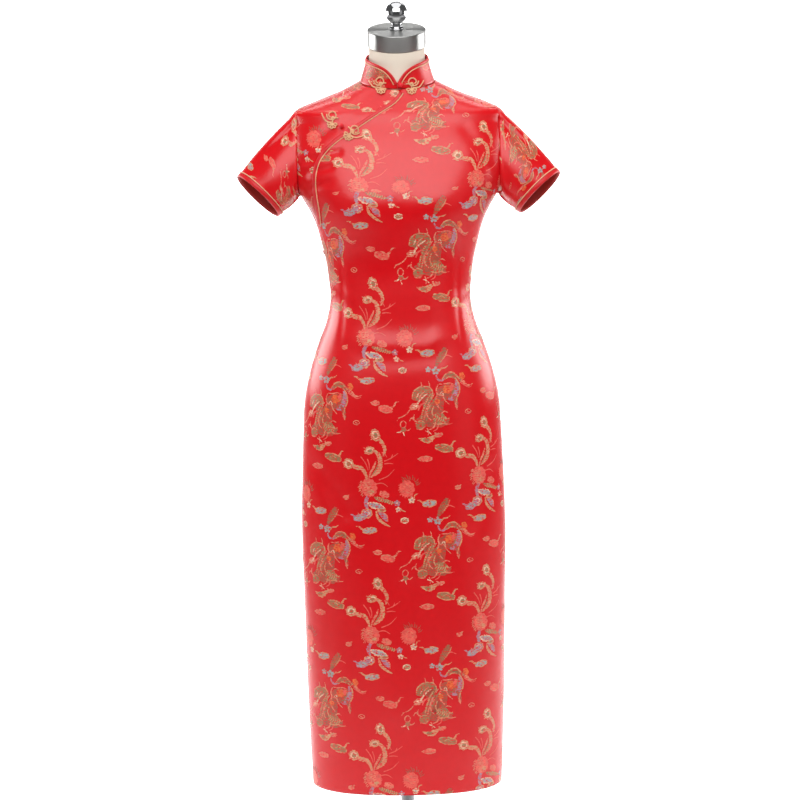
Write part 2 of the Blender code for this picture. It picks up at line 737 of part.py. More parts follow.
def make_collar(home):
    """The stand collar in one piece, bound and piped; returns the face that frogs lie on."""
    edge = collar_edge(25)
    shares = (0.0, 0.33, 0.67, 1.0)
    grid = [[collar_point(run, height * share) for run, height in edge] for share in shares]

    def outward(centre):
        return Vector((centre.x, centre.y, 0))

    mesh = grid_mesh("collar", grid, outward)
    wall(add_object("collar", mesh, "brocade", home), COLLAR_WALL)

    def lane(distance, lift):
        inner = offset_path(edge, distance)
        return [collar_point(run, height, lift) for run, height in inner if height > 0.0006]

    lanes = offset_path(edge, EDGE_BINDING_WIDTH)
    keep = [i for i, (_, height) in enumerate(lanes) if height > 0.0010]
    outer = [collar_point(*edge[i], SEAM_GAP) for i in keep]
    inner = [collar_point(*lanes[i], SEAM_GAP) for i in keep]
    mesh = grid_mesh("collar_binding", [inner, outer], outward)
    wall(add_object("collar_binding", mesh, "binding", home), BINDING, outside=True)
    cord = lane(EDGE_BINDING_WIDTH + SEAM_GAP + PIPING_RADIUS, SEAM_GAP + PIPING_RADIUS)
    tube("collar_piping", cord, PIPING_RADIUS, "gold_cord", home)
    return [[collar_point(run, -COLLAR_LAP) for run, _ in edge], *grid[1:]]


# ---------------------------------------------------------------- frogs


def frog_lines():
    """The frog's cords in its own plane: (points, closed), with the petals downwards."""
    lines = []
    turns = [COIL_TURNS * math.tau * i / 12 for i in range(13)]
    reach = [0.0014 + (COIL_RADIUS - 0.0014) * i / 12 for i in range(13)]
    lines.append(([(r * math.cos(t), r * math.sin(t)) for r, t in zip(reach, turns)], False))
    for lean in PETAL_LEANS:
        along, across = (math.cos(lean), math.sin(lean)), (-math.sin(lean), math.cos(lean))
        loop = []
        for i in range(10):
            t = math.pi * (i + 0.5) / 10
            u = 0.003 + PETAL_LENGTH * math.sin(t)
            v = -PETAL_WIDTH / 2 * math.sin(2 * t)
            loop.append((u * along[0] + v * across[0], u * along[1] + v * across[1]))
        lines.append((loop, True))
    for side in (-1, 1):
        curl = [(side * 0.0032, 0.0040), (side * 0.0058, 0.0100)]
        middle = (side * TENDRIL_CURL * 1.5, TENDRIL_REACH)
        for i in range(8):
            turn = math.pi - 0.62 * i
            r = TENDRIL_CURL * (0.62 - 0.045 * i)
            curl.append((middle[0] + side * r * math.cos(turn), middle[1] + r * math.sin(turn)))
        lines.append((curl, False))
    return lines


def make_frog(frog, trees, home, cutters):
    """One ornament, its cords joined into a single body that lies along the cloth."""
    turn = Matrix.Rotation(frog.lean, 2)
    flip = -1 if frog.mirrored else 1
    cords = []
    for k, (points, closed) in enumerate(frog_lines()):
        path = []
        for x, z in points:
            u, v = turn @ Vector((flip * x, z))
            path.append(onto_front(trees, frog.x + u, frog.z + v, CORD_RADIUS + FROG_GAP))
        name = frog.name if k == 0 else f"{frog.name}_cord_{k}"
        place = home if k == 0 else cutters
        cord = tube(name, path, CORD_RADIUS, "gold_cord", place, closed)
        cords.append(to_mesh(cord, place))
    for cord in cords[1:]:
        boolean(cords[0], hide_cutter(cord), "UNION")


def make_knot(name, place, look, home):
    mesh = bpy.data.meshes.new(name)
    work = bmesh.new()
    bmesh.ops.create_uvsphere(work, u_segments=12, v_segments=8, radius=KNOT_RADIUS)
    work.to_mesh(mesh)
    work.free()
    mesh.shade_smooth()
    made = add_object(name, mesh, look, home)
    made.location = place


# ---------------------------------------------------------------- form and stand


def form_ring(z):
    """One ring of the form below the cloth, before it is moved in."""
    row = body_row(z)
    row = row._replace(half_width=min(row.half_width, FORM_HALF_WIDTH))
    shares = [i / 8 for i in range(9)]
    ring = []
    for facing, sides in ((FRONT, (LEFT, RIGHT)), (BACK, (RIGHT, LEFT))):
        for side in sides:
            x, y, distance = quarter(row, facing, cut=False)
            steps = shares[1:] if side == sides[0] else shares
            steps = list(reversed(steps)) if side == sides[0] else steps
            for share in steps:
                px = side * float(np.interp(share * distance[-1], distance, x))
                py = float(np.interp(share * distance[-1], distance, y))
                pz = row.side_z + row.tilt * py
                lift = bust_height(px, pz) if facing == FRONT else 0.0
                ring.append(Vector((px, py + facing * lift, pz)))
            if side == sides[1]:
                ring.pop()
    return ring


FORM_ROWS_Z = (
    0.750, 0.800, 0.8555, 0.900, 0.940, 0.975, 1.010, 1.045, 1.090, 1.135, 1.170, 1.200,
    1.230, 1.265, 1.300, 1.335, 1.362, 1.380, 1.392, 1.403, 1.414, 1.4242,
)


def make_form(home):
    """The padded torso with its neck, closed at both ends."""
    rings = [form_ring(z) for z in FORM_ROWS_Z]
    count = len(rings[0])
    mesh = grid_mesh("form_torso", rings, lambda c: Vector((c.x, c.y, 0)), ring=True)
    moved = []
    for vertex in mesh.vertices:
        x, y, z = vertex.co
        on_ridge = smoothstep(1.380, 1.396, z) * (1 - smoothstep(0.012, 0.035, abs(y)))
        ease = FORM_EASE + (FORM_SHOULDER_EASE - FORM_EASE) * on_ridge
        moved.append(vertex.co - vertex.normal * ease)
    rings = [moved[k * count:(k + 1) * count] for k in range(len(rings))]
    foot = [Vector((p.x * 0.90, p.y * 0.88, FORM_BOTTOM_Z)) for p in rings[0]]
    angles = [math.atan2(p.x, -p.y * 1.15) for p in rings[-1]]
    neck = [[neck_ring_point(row, angle) for angle in angles] for row in FORM_NECK]
    grid = [foot, *rings, *neck]
    mesh = grid_mesh("form_torso", grid, lambda c: Vector((c.x, c.y, 0)), ring=True)
    work = bmesh.new()
    work.from_mesh(mesh)
    rims = [edge for edge in work.edges if edge.is_boundary]
    bmesh.ops.holes_fill(work, edges=rims, sides=0)
    bmesh.ops.recalc_face_normals(work, faces=work.faces)
    work.to_mesh(mesh)
    work.free()
    add_object("form_torso", mesh, "form", home)


def turned(name, profile, look, home, steps=40):
    """A turned piece from (radius, height) points, run from top to bottom."""
    mesh = bpy.data.meshes.new(name)
    edges = [(i, i + 1) for i in range(len(profile) - 1)]
    mesh.from_pydata([(radius, 0.0, height) for radius, height in profile], edges, [])
    made = add_object(name, mesh, look, home)
    screw = made.modifiers.new("Turn", "SCREW")
    screw.steps = screw.render_steps = steps
    screw.use_merge_vertices = True
    screw.merge_threshold = 0.00001
    screw.use_smooth_shade = True
    return made


def make_cap_and_knob(home):
    tilt = Matrix.Rotation(CAP_TILT, 4, "X")
    edge = 0.0015
    profile = [
        (0.0, CAP_HEIGHT), (CAP_RADIUS - edge, CAP_HEIGHT), (CAP_RADIUS, CAP_HEIGHT - edge),
        (CAP_RADIUS, edge), (CAP_RADIUS - edge, 0.0), (0.0, 0.0),
    ]
    cap = turned("neck_cap", profile, "steel", home)
    cap.matrix_world = Matrix.Translation(CAP_FOOT) @ tilt
    up = tilt @ Vector((0, 0, 1))
    knob_foot = CAP_FOOT + up * (CAP_HEIGHT + SEAM_GAP)
    centre = 0.030
    ball = [
        (KNOB_RADIUS * math.sin(t), centre + KNOB_RADIUS * math.cos(t))
        for t in np.linspace(0.0, math.radians(150), 12)
    ]
    ball[0] = (0.0, ball[0][1])
    stem = [(0.0100, 0.0095), (0.0102, 0.0060), (0.0125, 0.0025), (0.0125, 0.0), (0.0, 0.0)]
    knob = turned("cap_knob", [*ball, *stem], "chrome", home, steps=20)
    knob.matrix_world = Matrix.Translation(knob_foot) @ tilt


def make_stand(home):
    edge = 0.003
    base = [
        (0.0, BASE_THICKNESS), (BASE_RADIUS - edge, BASE_THICKNESS),
        (BASE_RADIUS, BASE_THICKNESS - edge), (BASE_RADIUS, 0.0), (0.0, 0.0),
    ]
    turned("stand_base", base, "stand", home, steps=48)
    foot, top = BASE_THICKNESS + SEAM_GAP, FORM_BOTTOM_Z - SEAM_GAP
    sleeve_radius, sleeve_height = 0.022, 0.030
    pole = [
        (0.0, top), (POLE_RADIUS, top), (POLE_RADIUS, foot + sleeve_height + 0.006),
        (sleeve_radius, foot + sleeve_height), (sleeve_radius, foot), (0.0, foot),
    ]
    turned("stand_pole", pole, "stand", home, steps=24)


def main():
    for old in list(bpy.data.objects):
        bpy.data.objects.remove(old)
    home, cutters = collection("cheongsam"), collection("cutters")
    front_grid, back_grid = make_body(home, cutters)
    front_tree = surface_tree(front_grid)
    flap_tree = make_flap_trim([front_tree], home)
    for side in (LEFT, RIGHT):
        make_sleeve(front_grid, back_grid, side, home)
    collar_grid = make_collar(home)
    trees = [front_tree, flap_tree, surface_tree(collar_grid)]
    for frog in FROGS:
        make_frog(frog, trees, home, cutters)
    for knot in KNOTS:
        place = onto_front(trees, knot.x, knot.z, KNOT_RADIUS + knot.clear)
        make_knot(knot.name, place, knot.look, home)
    make_form(home)
    make_cap_and_knob(home)
    make_stand(home)


main()
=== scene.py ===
"""A red brocade cheongsam on a limbless dress form: the look of the part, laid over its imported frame.

Metres, +Z up, the front facing -Y and the wearer's left at +X. Every piece of cloth lies on one body
surface, a stack of superellipse rings, so that panels, trims, cords and woven motifs all agree.
"""

import logging  # noqa: E402
import math  # noqa: E402
from dataclasses import dataclass, field, replace  # noqa: E402
from enum import Enum  # noqa: E402
from typing import Any, Iterable, Sequence  # noqa: E402

import bpy  # noqa: E402
import numpy as np  # noqa: E402
from mathutils import Matrix, Vector  # noqa: E402
from mathutils.bvhtree import BVHTree  # noqa: E402


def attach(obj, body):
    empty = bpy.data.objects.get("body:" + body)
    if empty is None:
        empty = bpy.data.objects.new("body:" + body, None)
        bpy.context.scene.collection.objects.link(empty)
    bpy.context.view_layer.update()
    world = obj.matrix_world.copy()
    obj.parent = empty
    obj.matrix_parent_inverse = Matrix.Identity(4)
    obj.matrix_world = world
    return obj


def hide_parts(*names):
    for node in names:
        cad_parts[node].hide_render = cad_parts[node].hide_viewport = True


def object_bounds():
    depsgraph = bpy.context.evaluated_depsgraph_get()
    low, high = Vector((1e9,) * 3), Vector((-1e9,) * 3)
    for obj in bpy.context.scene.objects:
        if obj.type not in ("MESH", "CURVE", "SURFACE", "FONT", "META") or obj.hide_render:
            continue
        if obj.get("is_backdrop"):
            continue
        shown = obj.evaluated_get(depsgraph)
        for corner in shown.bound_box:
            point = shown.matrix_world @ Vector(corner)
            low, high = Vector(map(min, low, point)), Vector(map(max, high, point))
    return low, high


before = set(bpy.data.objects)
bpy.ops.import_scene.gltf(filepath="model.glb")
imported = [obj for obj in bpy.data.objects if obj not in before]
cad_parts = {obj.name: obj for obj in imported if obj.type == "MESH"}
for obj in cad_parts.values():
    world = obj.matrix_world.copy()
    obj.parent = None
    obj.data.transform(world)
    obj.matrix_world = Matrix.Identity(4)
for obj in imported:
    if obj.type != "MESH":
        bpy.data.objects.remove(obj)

log = logging.getLogger("cheongsam")

MM = 0.001
Pair = tuple[float, float]
Triple = tuple[float, float, float]
Array = np.ndarray
Object = bpy.types.Object
Material = bpy.types.Material
Sockets = dict[str | int, Any]
Socket = bpy.types.NodeSocket
Colour = tuple[float, float, float, float]


class Facing(Enum):
    """The half of the dress that a piece belongs to, by the sign of its Y."""

    FRONT = -1
    BACK = 1


FRONT, BACK = Facing.FRONT, Facing.BACK


class Side(Enum):
    """The wearer's side, by the sign of its X."""

    LEFT = 1
    RIGHT = -1


class Slot(Enum):
    """Material slots of the part's record."""

    BROCADE = "brocade"
    BINDING = "binding"
    GOLD_CORD = "gold_cord"
    FORM_COVER = "form_cover"
    CAP_STEEL = "cap_steel"
    KNOB_CHROME = "knob_chrome"
    STAND_STEEL = "stand_steel"


# ---- small helpers


def smoothstep(low: float, high: float, value: Array) -> Array:
    """Eases from 0 at low to 1 at high."""
    t = np.clip((value - low) / (high - low), 0.0, 1.0)
    return t * t * (3 - 2 * t)


def linear(code: str) -> Colour:
    """A shader colour from an sRGB hex code such as C4101A."""
    parts = [int(code[i : i + 2], 16) / 255 for i in (0, 2, 4)]
    red, green, blue = (p / 12.92 if p <= 0.04045 else ((p + 0.055) / 1.055) ** 2.4 for p in parts)
    return red, green, blue, 1.0


def unit(vectors: Array) -> Array:
    """Vectors scaled to a length of one along the last axis."""
    length = np.linalg.norm(vectors, axis=-1, keepdims=True)
    return vectors / np.maximum(length, 1e-12)


def along(points: Array) -> Array:
    """The distance run at each point of a path."""
    steps = np.linalg.norm(np.diff(points, axis=0), axis=1)
    return np.concatenate([[0.0], np.cumsum(steps)])


def ahead_of(path: Array, closed: bool = False) -> Array:
    """The direction of a path at each of its points."""
    if closed:
        return unit(np.roll(path, -1, axis=0) - np.roll(path, 1, axis=0))
    return unit(np.gradient(path, axis=0))


def sampled(path: Array, run: Array, at: Array) -> Array:
    """Places of a path at distances along it, where run is the distance at each of its points."""
    return np.stack([np.interp(at, run, axis) for axis in path.T], axis=1)


def eased(low: Array, high: Array, slopes: Sequence[Array], run: Array | float, t: Array) -> Array:
    """Places at shares t between two points of a smooth curve, by its slopes there and their distance."""
    rise, bend = t * t * (3 - 2 * t), (t - 1) * slopes[0] + t * slopes[1]
    return low * (1 - rise) + high * rise + run * (t * (t - 1)) * bend


def smooth_path(through: Iterable[Sequence[float]], step: float, closed: bool = False) -> Array:
    """Evenly spaced points on a smooth curve through a few given ones.

    Args:
        through: The points, each of two or three numbers.
        step: The distance between the points returned.
        closed: Whether the curve runs round to its start, which isn't repeated.

    Returns:
        An array of points.
    """
    given = np.array([tuple(p) for p in through], float)
    if closed:
        given = np.concatenate([given[-2:], given, given[:3]])
    at = along(given)
    slopes = np.gradient(given, at, axis=0)
    t = np.linspace(0, 1, 16, endpoint=False)[:, None]
    pieces = []
    for i in range(2 if closed else 0, len(given) - (3 if closed else 1)):
        pieces.append(eased(given[i], given[i + 1], slopes[i : i + 2], at[i + 1] - at[i], t))
    fine = np.concatenate([*pieces, given[-3:-2] if closed else given[-1:]])
    run = along(fine)
    count = max(3, round(run[-1] / step) + 1)
    even = sampled(fine, run, np.linspace(0, run[-1], count))
    return even[:-1] if closed else even


def left_of(path: Array, distance: float) -> Array:
    """A flat path moved to its left."""
    run = ahead_of(path)
    return path + distance * np.stack([-run[:, 1], run[:, 0]], axis=1)


def grid_faces(rows: int, columns: int, ring: bool = False, loop: bool = False) -> Array:
    """Quads over a grid of points numbered row by row.

    Args:
        rows: How many rows the grid has.
        columns: How many points each row has.
        ring: Whether each row is closed.
        loop: Whether the last row is joined to the first.

    Returns:
        The points of each quad.
    """
    across = np.arange(columns if ring else columns - 1)
    k = np.arange(rows if loop else rows - 1)[:, None] * columns
    i, j = k + across, k + (across + 1) % columns
    return (np.stack([i, j, j + columns, i + columns], axis=-1) % (rows * columns)).reshape(-1, 4)


def turned_outward(points: Array, faces: Array, outward: Array) -> Array:
    """Faces with their order reversed if most of them look against outward.

    Args:
        points: The mesh's points.
        faces: Its quads.
        outward: One direction, or one for each face.

    Returns:
        The faces, turned if need be.
    """
    a, b, c = (points[faces[:, i]] for i in (0, 1, 2))
    looks = np.cross(b - a, c - a)
    return faces[:, ::-1] if (looks * outward).sum() < 0 else faces


def turned_from_axis(points: Array, faces: Array) -> Array:
    """Faces turned to look away from the upright axis."""
    return turned_outward(points, faces, points[faces[:, 0]] * np.array([1, 1, 0]))


def tube_faces(rows: Array, closed: bool, first: int = 0) -> list[list[int]]:
    """Faces over rings of points along a path, looking outward, with flat ends unless it is closed.

    Args:
        rows: The points, along the path x round it x 3.
        closed: Whether the path runs round to its start.
        first: The number of the first point.

    Returns:
        The points of each face.
    """
    count, around = rows.shape[:2]
    points, middles = rows.reshape(-1, 3), rows.mean(axis=1)
    quads = grid_faces(count, around, True, closed)
    faces = turned_outward(points, quads, points[quads[:, 0]] - middles[quads[:, 0] // around])
    listed = (faces + first).tolist()
    if not closed:
        i = np.arange(around) + first
        caps = [i, (count - 1) * around + i[::-1]]
        listed += [list(cap[::-1] if faces is quads else cap) for cap in caps]
    return listed


def between(table: Array, row: Array, column: Array) -> Array:
    """Values between those of a table.

    Args:
        table: The table, rows x columns x what each holds.
        row: Places down the table, which may lie between its rows.
        column: Places across it.

    Returns:
        The values.
    """
    i = np.clip(row.astype(int), 0, table.shape[0] - 2)
    j = np.clip(column.astype(int), 0, table.shape[1] - 2)
    s, t = (row - i)[..., None], (column - j)[..., None]
    low = table[i, j] * (1 - t) + table[i, j + 1] * t
    high = table[i + 1, j] * (1 - t) + table[i + 1, j + 1] * t
    return low * (1 - s) + high * s


def placed(name: str, data: bpy.types.ID) -> Object:
    """An object in the scene, of a mesh, a light or a camera."""
    made = bpy.data.objects.new(name, data)
    bpy.context.scene.collection.objects.link(made)
    return made


def mesh_object(
    name: str, points: Array, faces: Sequence[Sequence[int]] | Array,
    materials: Sequence[Material], weave: Array | None = None, looks: Array | None = None,
) -> Object:
    """Makes a smooth-shaded mesh object in the scene.

    Args:
        name: The object's name.
        points: Its points, in metres.
        faces: The points of each face.
        materials: Its materials.
        weave: For each point, its place on the flat cloth in metres.
        looks: For each face, which of the materials it wears.

    Returns:
        The object.
    """
    mesh = bpy.data.meshes.new(name)
    rows = faces.tolist() if isinstance(faces, Array) else faces
    mesh.from_pydata(points.tolist(), [], rows)
    for material in materials:
        mesh.materials.append(material)
    if looks is not None:
        mesh.polygons.foreach_set("material_index", looks.astype(np.int32))
    if weave is not None:
        corners = np.empty(len(mesh.loops), np.int32)
        mesh.loops.foreach_get("vertex_index", corners)
        layer = mesh.uv_layers.new(name="weave")
        layer.data.foreach_set("uv", weave[corners].astype(np.float32).ravel())
    mesh.shade_smooth()
    return placed(name, mesh)


def thicken(made: Object, thickness: float, inner: int = 0) -> Object:
    """Gives open cloth its thickness, inwards.

    Args:
        made: The cloth's outer face.
        thickness: How thick it is.
        inner: How many materials on the inside's look stands.

    Returns:
        The same object.
    """
    solid = made.modifiers.new("Thickness", "SOLIDIFY")
    solid.thickness = thickness
    solid.offset = -1.0
    solid.use_even_offset = False
    solid.material_offset = inner
    return made


def finish_piece(made: Object, slot: Slot, *nodes: str) -> Object:
    """Puts a piece on the part's body.

    Args:
        made: The piece.
        slot: The material slot that it would fill; not used.
        nodes: The CAD nodes that it replaces.

    Returns:
        The same object.
    """
    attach(made, "root")
    if nodes:
        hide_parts(*nodes)
    return made


# ---- finishes


class Mix:
    """A material in the making: its nodes, and the shader that they feed."""

    def __init__(self, name: str) -> None:
        """Starts a material of this name."""
        self.material = bpy.data.materials.new(name)
        self.material.use_nodes = True
        self.tree = self.material.node_tree

    def fill(self, node: bpy.types.Node, sockets: Sockets) -> None:
        """Fills a node's inputs.

        Args:
            node: The node.
            sockets: For inputs by name or number, a value or another node's output to link.
        """
        for name, value in sockets.items():
            if isinstance(value, Socket):
                self.tree.links.new(value, node.inputs[name])
            else:
                node.inputs[name].default_value = value

    def add(self, kind: str, output: str | int, sockets: Sockets | None = None, **settings: Any) -> Socket:
        """Adds a shader node.

        Args:
            kind: The node's type, without the ShaderNode in front.
            output: Which of its outputs is wanted.
            sockets: What its inputs are filled with.
            settings: The node's own settings.

        Returns:
            The output.
        """
        made = self.tree.nodes.new("ShaderNode" + kind)
        for name, value in settings.items():
            setattr(made, name, value)
        self.fill(made, sockets or {})
        return made.outputs[output]

    def finish(self, sockets: Sockets) -> Material:
        """Fills the shader's inputs and gives the material."""
        self.fill(self.tree.nodes["Principled BSDF"], sockets)
        return self.material


def wave_scale(period: float) -> float:
    """The Wave node's scale that repeats its bands every period metres."""
    return math.pi / 10 / period


def shade(code: str, share: float) -> Colour:
    """A shader colour made darker or lighter by a share."""
    red, green, blue = (min(1.0, c * share) for c in linear(code)[:3])
    return red, green, blue, 1.0


@dataclass(frozen=True)
class Satin:
    """Silk satin: long floats along the warp that stretch highlights across it."""

    name: str
    colour: str
    roughness: float
    streak: float = 0.45
    sheen: float = 0.12
    rib: float = 0.9 * MM  # a real rib is about 0.2 mm, drawn coarser to show at all
    depth: float = 0.05
    slubs: float = 90.0  # uneven threads in a metre, about 11 mm apart
    slub_shade: float = 0.86

    def material(self) -> Material:
        """Builds the material."""
        mix = Mix(self.name)
        weave = mix.add("UVMap", "UV", uv_map="weave")
        wave = {"Vector": weave, "Scale": wave_scale(self.rib), "Distortion": 0.6}
        ribs = mix.add("TexWave", "Fac", wave, bands_direction="Y")
        slubs = mix.add("TexNoise", "Fac", {"Vector": weave, "Scale": self.slubs, "Detail": 3.0})
        tones = {"Color1": shade(self.colour, self.slub_shade), "Color2": linear(self.colour)}
        raised = {"Height": ribs, "Strength": self.depth, "Distance": 0.3 * MM}
        return mix.finish({
            "Base Color": mix.add("MixRGB", "Color", {"Fac": slubs, **tones}),
            "Normal": mix.add("Bump", "Normal", raised),
            "Tangent": mix.add("Tangent", "Tangent", direction_type="UV_MAP", uv_map="weave"),
            "Roughness": self.roughness,
            "Anisotropic": self.streak,
            "Sheen Weight": self.sheen,
            "Sheen Roughness": 0.35,
            "Sheen Tint": linear("FFB0A0"),
        })


@dataclass(frozen=True)
class Floss:
    """Coloured pattern weft, lying in broken floats with the ground between them."""

    name: str
    colour: str
    ground: str = "D80813"
    roughness: float = 0.4
    dash: Pair = (5.0 * MM, 1.9 * MM)  # real floats are 2 by 0.3 mm, drawn coarser
    cover: float = 0.6
    depth: float = 0.3
    shades: Pair = (0.62, 1.3)
    patches: float = 140.0  # lighter and darker places in a metre, about 7 mm apart

    def material(self) -> Material:
        """Builds the material."""
        mix = Mix(self.name)
        weave = mix.add("UVMap", "UV", uv_map="weave")
        run = (1 / self.dash[0], 1 / self.dash[1], 1.0)
        place = mix.add("VectorMath", 0, {0: weave, 1: run}, operation="MULTIPLY")
        floats = mix.add("TexNoise", "Fac", {"Vector": place, "Scale": 1.0, "Detail": 1.0})
        patchy = mix.add("TexNoise", "Fac", {"Vector": weave, "Scale": self.patches, "Detail": 1.0})
        bare = self.cover / 3
        edges = {"From Min": 0.60 - bare, "From Max": 0.70 - bare}
        shown = mix.add("MapRange", "Result", {"Value": floats, **edges})
        dark, light = (shade(self.colour, share) for share in self.shades)
        bright = mix.add("MixRGB", "Color", {"Fac": patchy, "Color1": dark, "Color2": light})
        tones = {"Fac": shown, "Color1": linear(self.ground), "Color2": bright}
        raised = {"Height": floats, "Strength": self.depth, "Distance": 0.4 * MM}
        return mix.finish({
            "Base Color": mix.add("MixRGB", "Color", tones),
            "Normal": mix.add("Bump", "Normal", raised),
            "Roughness": self.roughness,
        })


@dataclass(frozen=True)
class Plain:
    """A finish of one colour, with a fine grain raised on it."""

    name: str
    colour: str
    roughness: float
    metallic: float = 0.0
    sheen: float = 0.0
    grain: float = 0.0  # across one grain, or none
    depth: float = 0.15

    def material(self) -> Material:
        """Builds the material."""
        mix = Mix(self.name)
        grained = {}
        if self.grain:
            place = mix.add("TexCoord", "Object")
            noise = mix.add("TexNoise", "Fac", {"Vector": place, "Scale": 1 / self.grain, "Detail": 2.0})
            raised = {"Height": noise, "Strength": self.depth, "Distance": 0.4 * MM}
            grained = {"Normal": mix.add("Bump", "Normal", raised)}
        return mix.finish({
            "Base Color": linear(self.colour),
            "Roughness": self.roughness,
            "Metallic": self.metallic,
            "Sheen Weight": self.sheen,
            **grained,
        })


@dataclass(frozen=True)
class BrushedSteel:
    """Spun steel: fine rings brushed round the axis."""

    name: str
    colour: str
    roughness: float
    ring: float = 0.5 * MM  # a real brush mark is about 0.1 mm, drawn coarser to show at all
    streak: float = 0.6

    def material(self) -> Material:
        """Builds the material."""
        mix = Mix(self.name)
        place = mix.add("TexCoord", "Object")
        wave = {"Vector": place, "Scale": wave_scale(self.ring), "Distortion": 2.0, "Detail": 2.0}
        rings = mix.add("TexWave", "Fac", wave, bands_direction="Z")
        raised = {"Height": rings, "Strength": 0.08, "Distance": 0.2 * MM}
        return mix.finish({
            "Normal": mix.add("Bump", "Normal", raised),
            "Tangent": mix.add("Tangent", "Tangent", direction_type="RADIAL", axis="Z"),
            "Base Color": linear(self.colour),
            "Metallic": 1.0,
            "Roughness": self.roughness,
            "Anisotropic": self.streak,
            "Anisotropic Rotation": 0.25,  # glints run across the rings
        })


# Warp floats side by side, smooth and shining: deep red, lit in long soft bands.
GROUND = Satin("silk satin, crimson ground", "D80813", 0.26, sheen=0.03)
# The wefts' loose ends scatter the light: a duller, browner red with no bands.
REVERSE = Satin("brocade reverse, loose wefts", "B22418", 0.62, streak=0.0)
# Cut slantwise, so its floats turn with every curve: the ground's red, more evenly lit.
BIAS = Satin("silk satin, bias binding", "D20A16", 0.42, streak=0.3, sheen=0.03, rib=0.6 * MM)
# Metal thread wound over a core: warm pale gold, with a soft glint on each turn.
CORD = Plain("metallic cord, twisted gold", "ECBC90", 0.45, metallic=0.25, sheen=0.2)
# The same but finer: a pale gold line, its twist just told apart.
PIPING = Plain("metallic cord, fine gold", "F2BE96", 0.5, metallic=0.2, sheen=0.2)
# Knitted loops break up every highlight: a matt, warm white.
JERSEY = Plain("cotton jersey, ivory", "E2D5C4", 0.85, sheen=0.1, grain=0.7 * MM)
# Satin sewn to a narrow tube: bright red, with a soft highlight along each turn.
KNOT_SILK = Plain("silk satin, knotted tube", "E41626", 0.45, sheen=0.05, grain=0.5 * MM)
# Spun and brushed: light grey, its highlight drawn out across the rings.
CAP_STEEL = BrushedSteel("spun steel, brushed", "A2A2A0", 0.33, streak=0.85)
# Polished before it is plated: a mirror that holds the lights and the dark between them.
CHROME = Plain("chrome plate, polished", "BEBEC0", 0.07, metallic=1.0)
# Brushed less strongly than the cap: a mid grey with broader, softer highlights.
STAND_STEEL = BrushedSteel("steel tube, satin", "9C9C9E", 0.38)


class Weft(Enum):
    """The brocade's coloured wefts."""

    GOLD = Floss("weft, old gold", "D09A72")
    OLIVE = Floss("weft, olive gold", "96744E")
    SLATE = Floss("weft, slate blue", "98AAA8")
    LAVENDER = Floss("weft, lavender", "AC8494")
    CORAL = Floss("weft, coral", "EC5A4E", cover=0.85)
    ORANGE = Floss("weft, orange", "E46A34")
    BLUSH = Floss("weft, blush", "DE866C")
    IVORY = Floss("weft, ivory", "F0C6A6")
    RUST = Floss("weft, rust", "A6503A", cover=0.62)


class Palette:
    """Builds each finish once and hands out its material."""

    def __init__(self) -> None:
        """Starts with no material made."""
        self.made: dict[str, Material] = {}

    def of(self, finish: Any) -> Material:
        """The material of a finish."""
        if finish.name not in self.made:
            self.made[finish.name] = finish.material()
        return self.made[finish.name]

    def wefts(self) -> list[Material]:
        """The pattern wefts' materials, in the order of the enum."""
        return [self.of(weft.value) for weft in Weft]


# ---- the dress's surface

# side height, half width, depth in front, depth behind, roundness, tilt
BODY_ROWS = np.array((
    (0.1400, 0.1775, 0.1000, 0.1080, 2.35, 0.000),
    (0.2900, 0.1826, 0.1030, 0.1100, 2.35, 0.000),
    (0.4800, 0.1860, 0.1060, 0.1130, 2.30, 0.000),
    (0.6320, 0.1882, 0.1090, 0.1170, 2.30, 0.000),
    (0.7440, 0.1845, 0.1120, 0.1210, 2.30, 0.000),
    (0.8185, 0.1811, 0.1125, 0.1210, 2.30, 0.000),
    (0.8555, 0.1785, 0.1115, 0.1190, 2.30, 0.000),
    (0.9108, 0.1673, 0.1080, 0.1110, 2.25, 0.000),
    (0.9659, 0.1496, 0.1015, 0.1005, 2.20, 0.000),
    (1.0050, 0.1348, 0.0955, 0.0930, 2.20, 0.000),
    (1.0446, 0.1276, 0.0920, 0.0890, 2.20, 0.000),
    (1.0810, 0.1299, 0.0930, 0.0895, 2.20, 0.000),
    (1.1155, 0.1346, 0.0970, 0.0925, 2.25, 0.000),
    (1.1499, 0.1427, 0.1050, 0.0965, 2.35, 0.000),
    (1.1843, 0.1527, 0.1130, 0.1005, 2.45, 0.000),
    (1.2050, 0.1620, 0.1165, 0.1025, 2.50, 0.000),
    (1.2302, 0.1770, 0.1165, 0.1045, 2.50, 0.000),
    (1.2550, 0.1890, 0.1130, 0.1055, 2.50, 0.010),
    (1.2900, 0.1955, 0.1050, 0.1050, 2.50, 0.030),
    (1.3300, 0.1950, 0.0935, 0.1010, 2.50, 0.060),
    (1.3600, 0.1900, 0.0835, 0.0960, 2.45, 0.090),
    (1.3850, 0.1828, 0.0755, 0.0900, 2.40, 0.120),
    (1.3922, 0.1648, 0.0725, 0.0865, 2.35, 0.145),
    (1.3993, 0.1458, 0.0700, 0.0820, 2.30, 0.175),
    (1.4064, 0.1251, 0.0672, 0.0770, 2.25, 0.205),
    (1.4135, 0.1062, 0.0645, 0.0715, 2.20, 0.235),
    (1.4206, 0.0909, 0.0620, 0.0665, 2.15, 0.262),
    (1.4277, 0.0765, 0.0597, 0.0615, 2.10, 0.285),
    (1.4325, 0.0675, 0.0580, 0.0580, 2.05, 0.300),
))


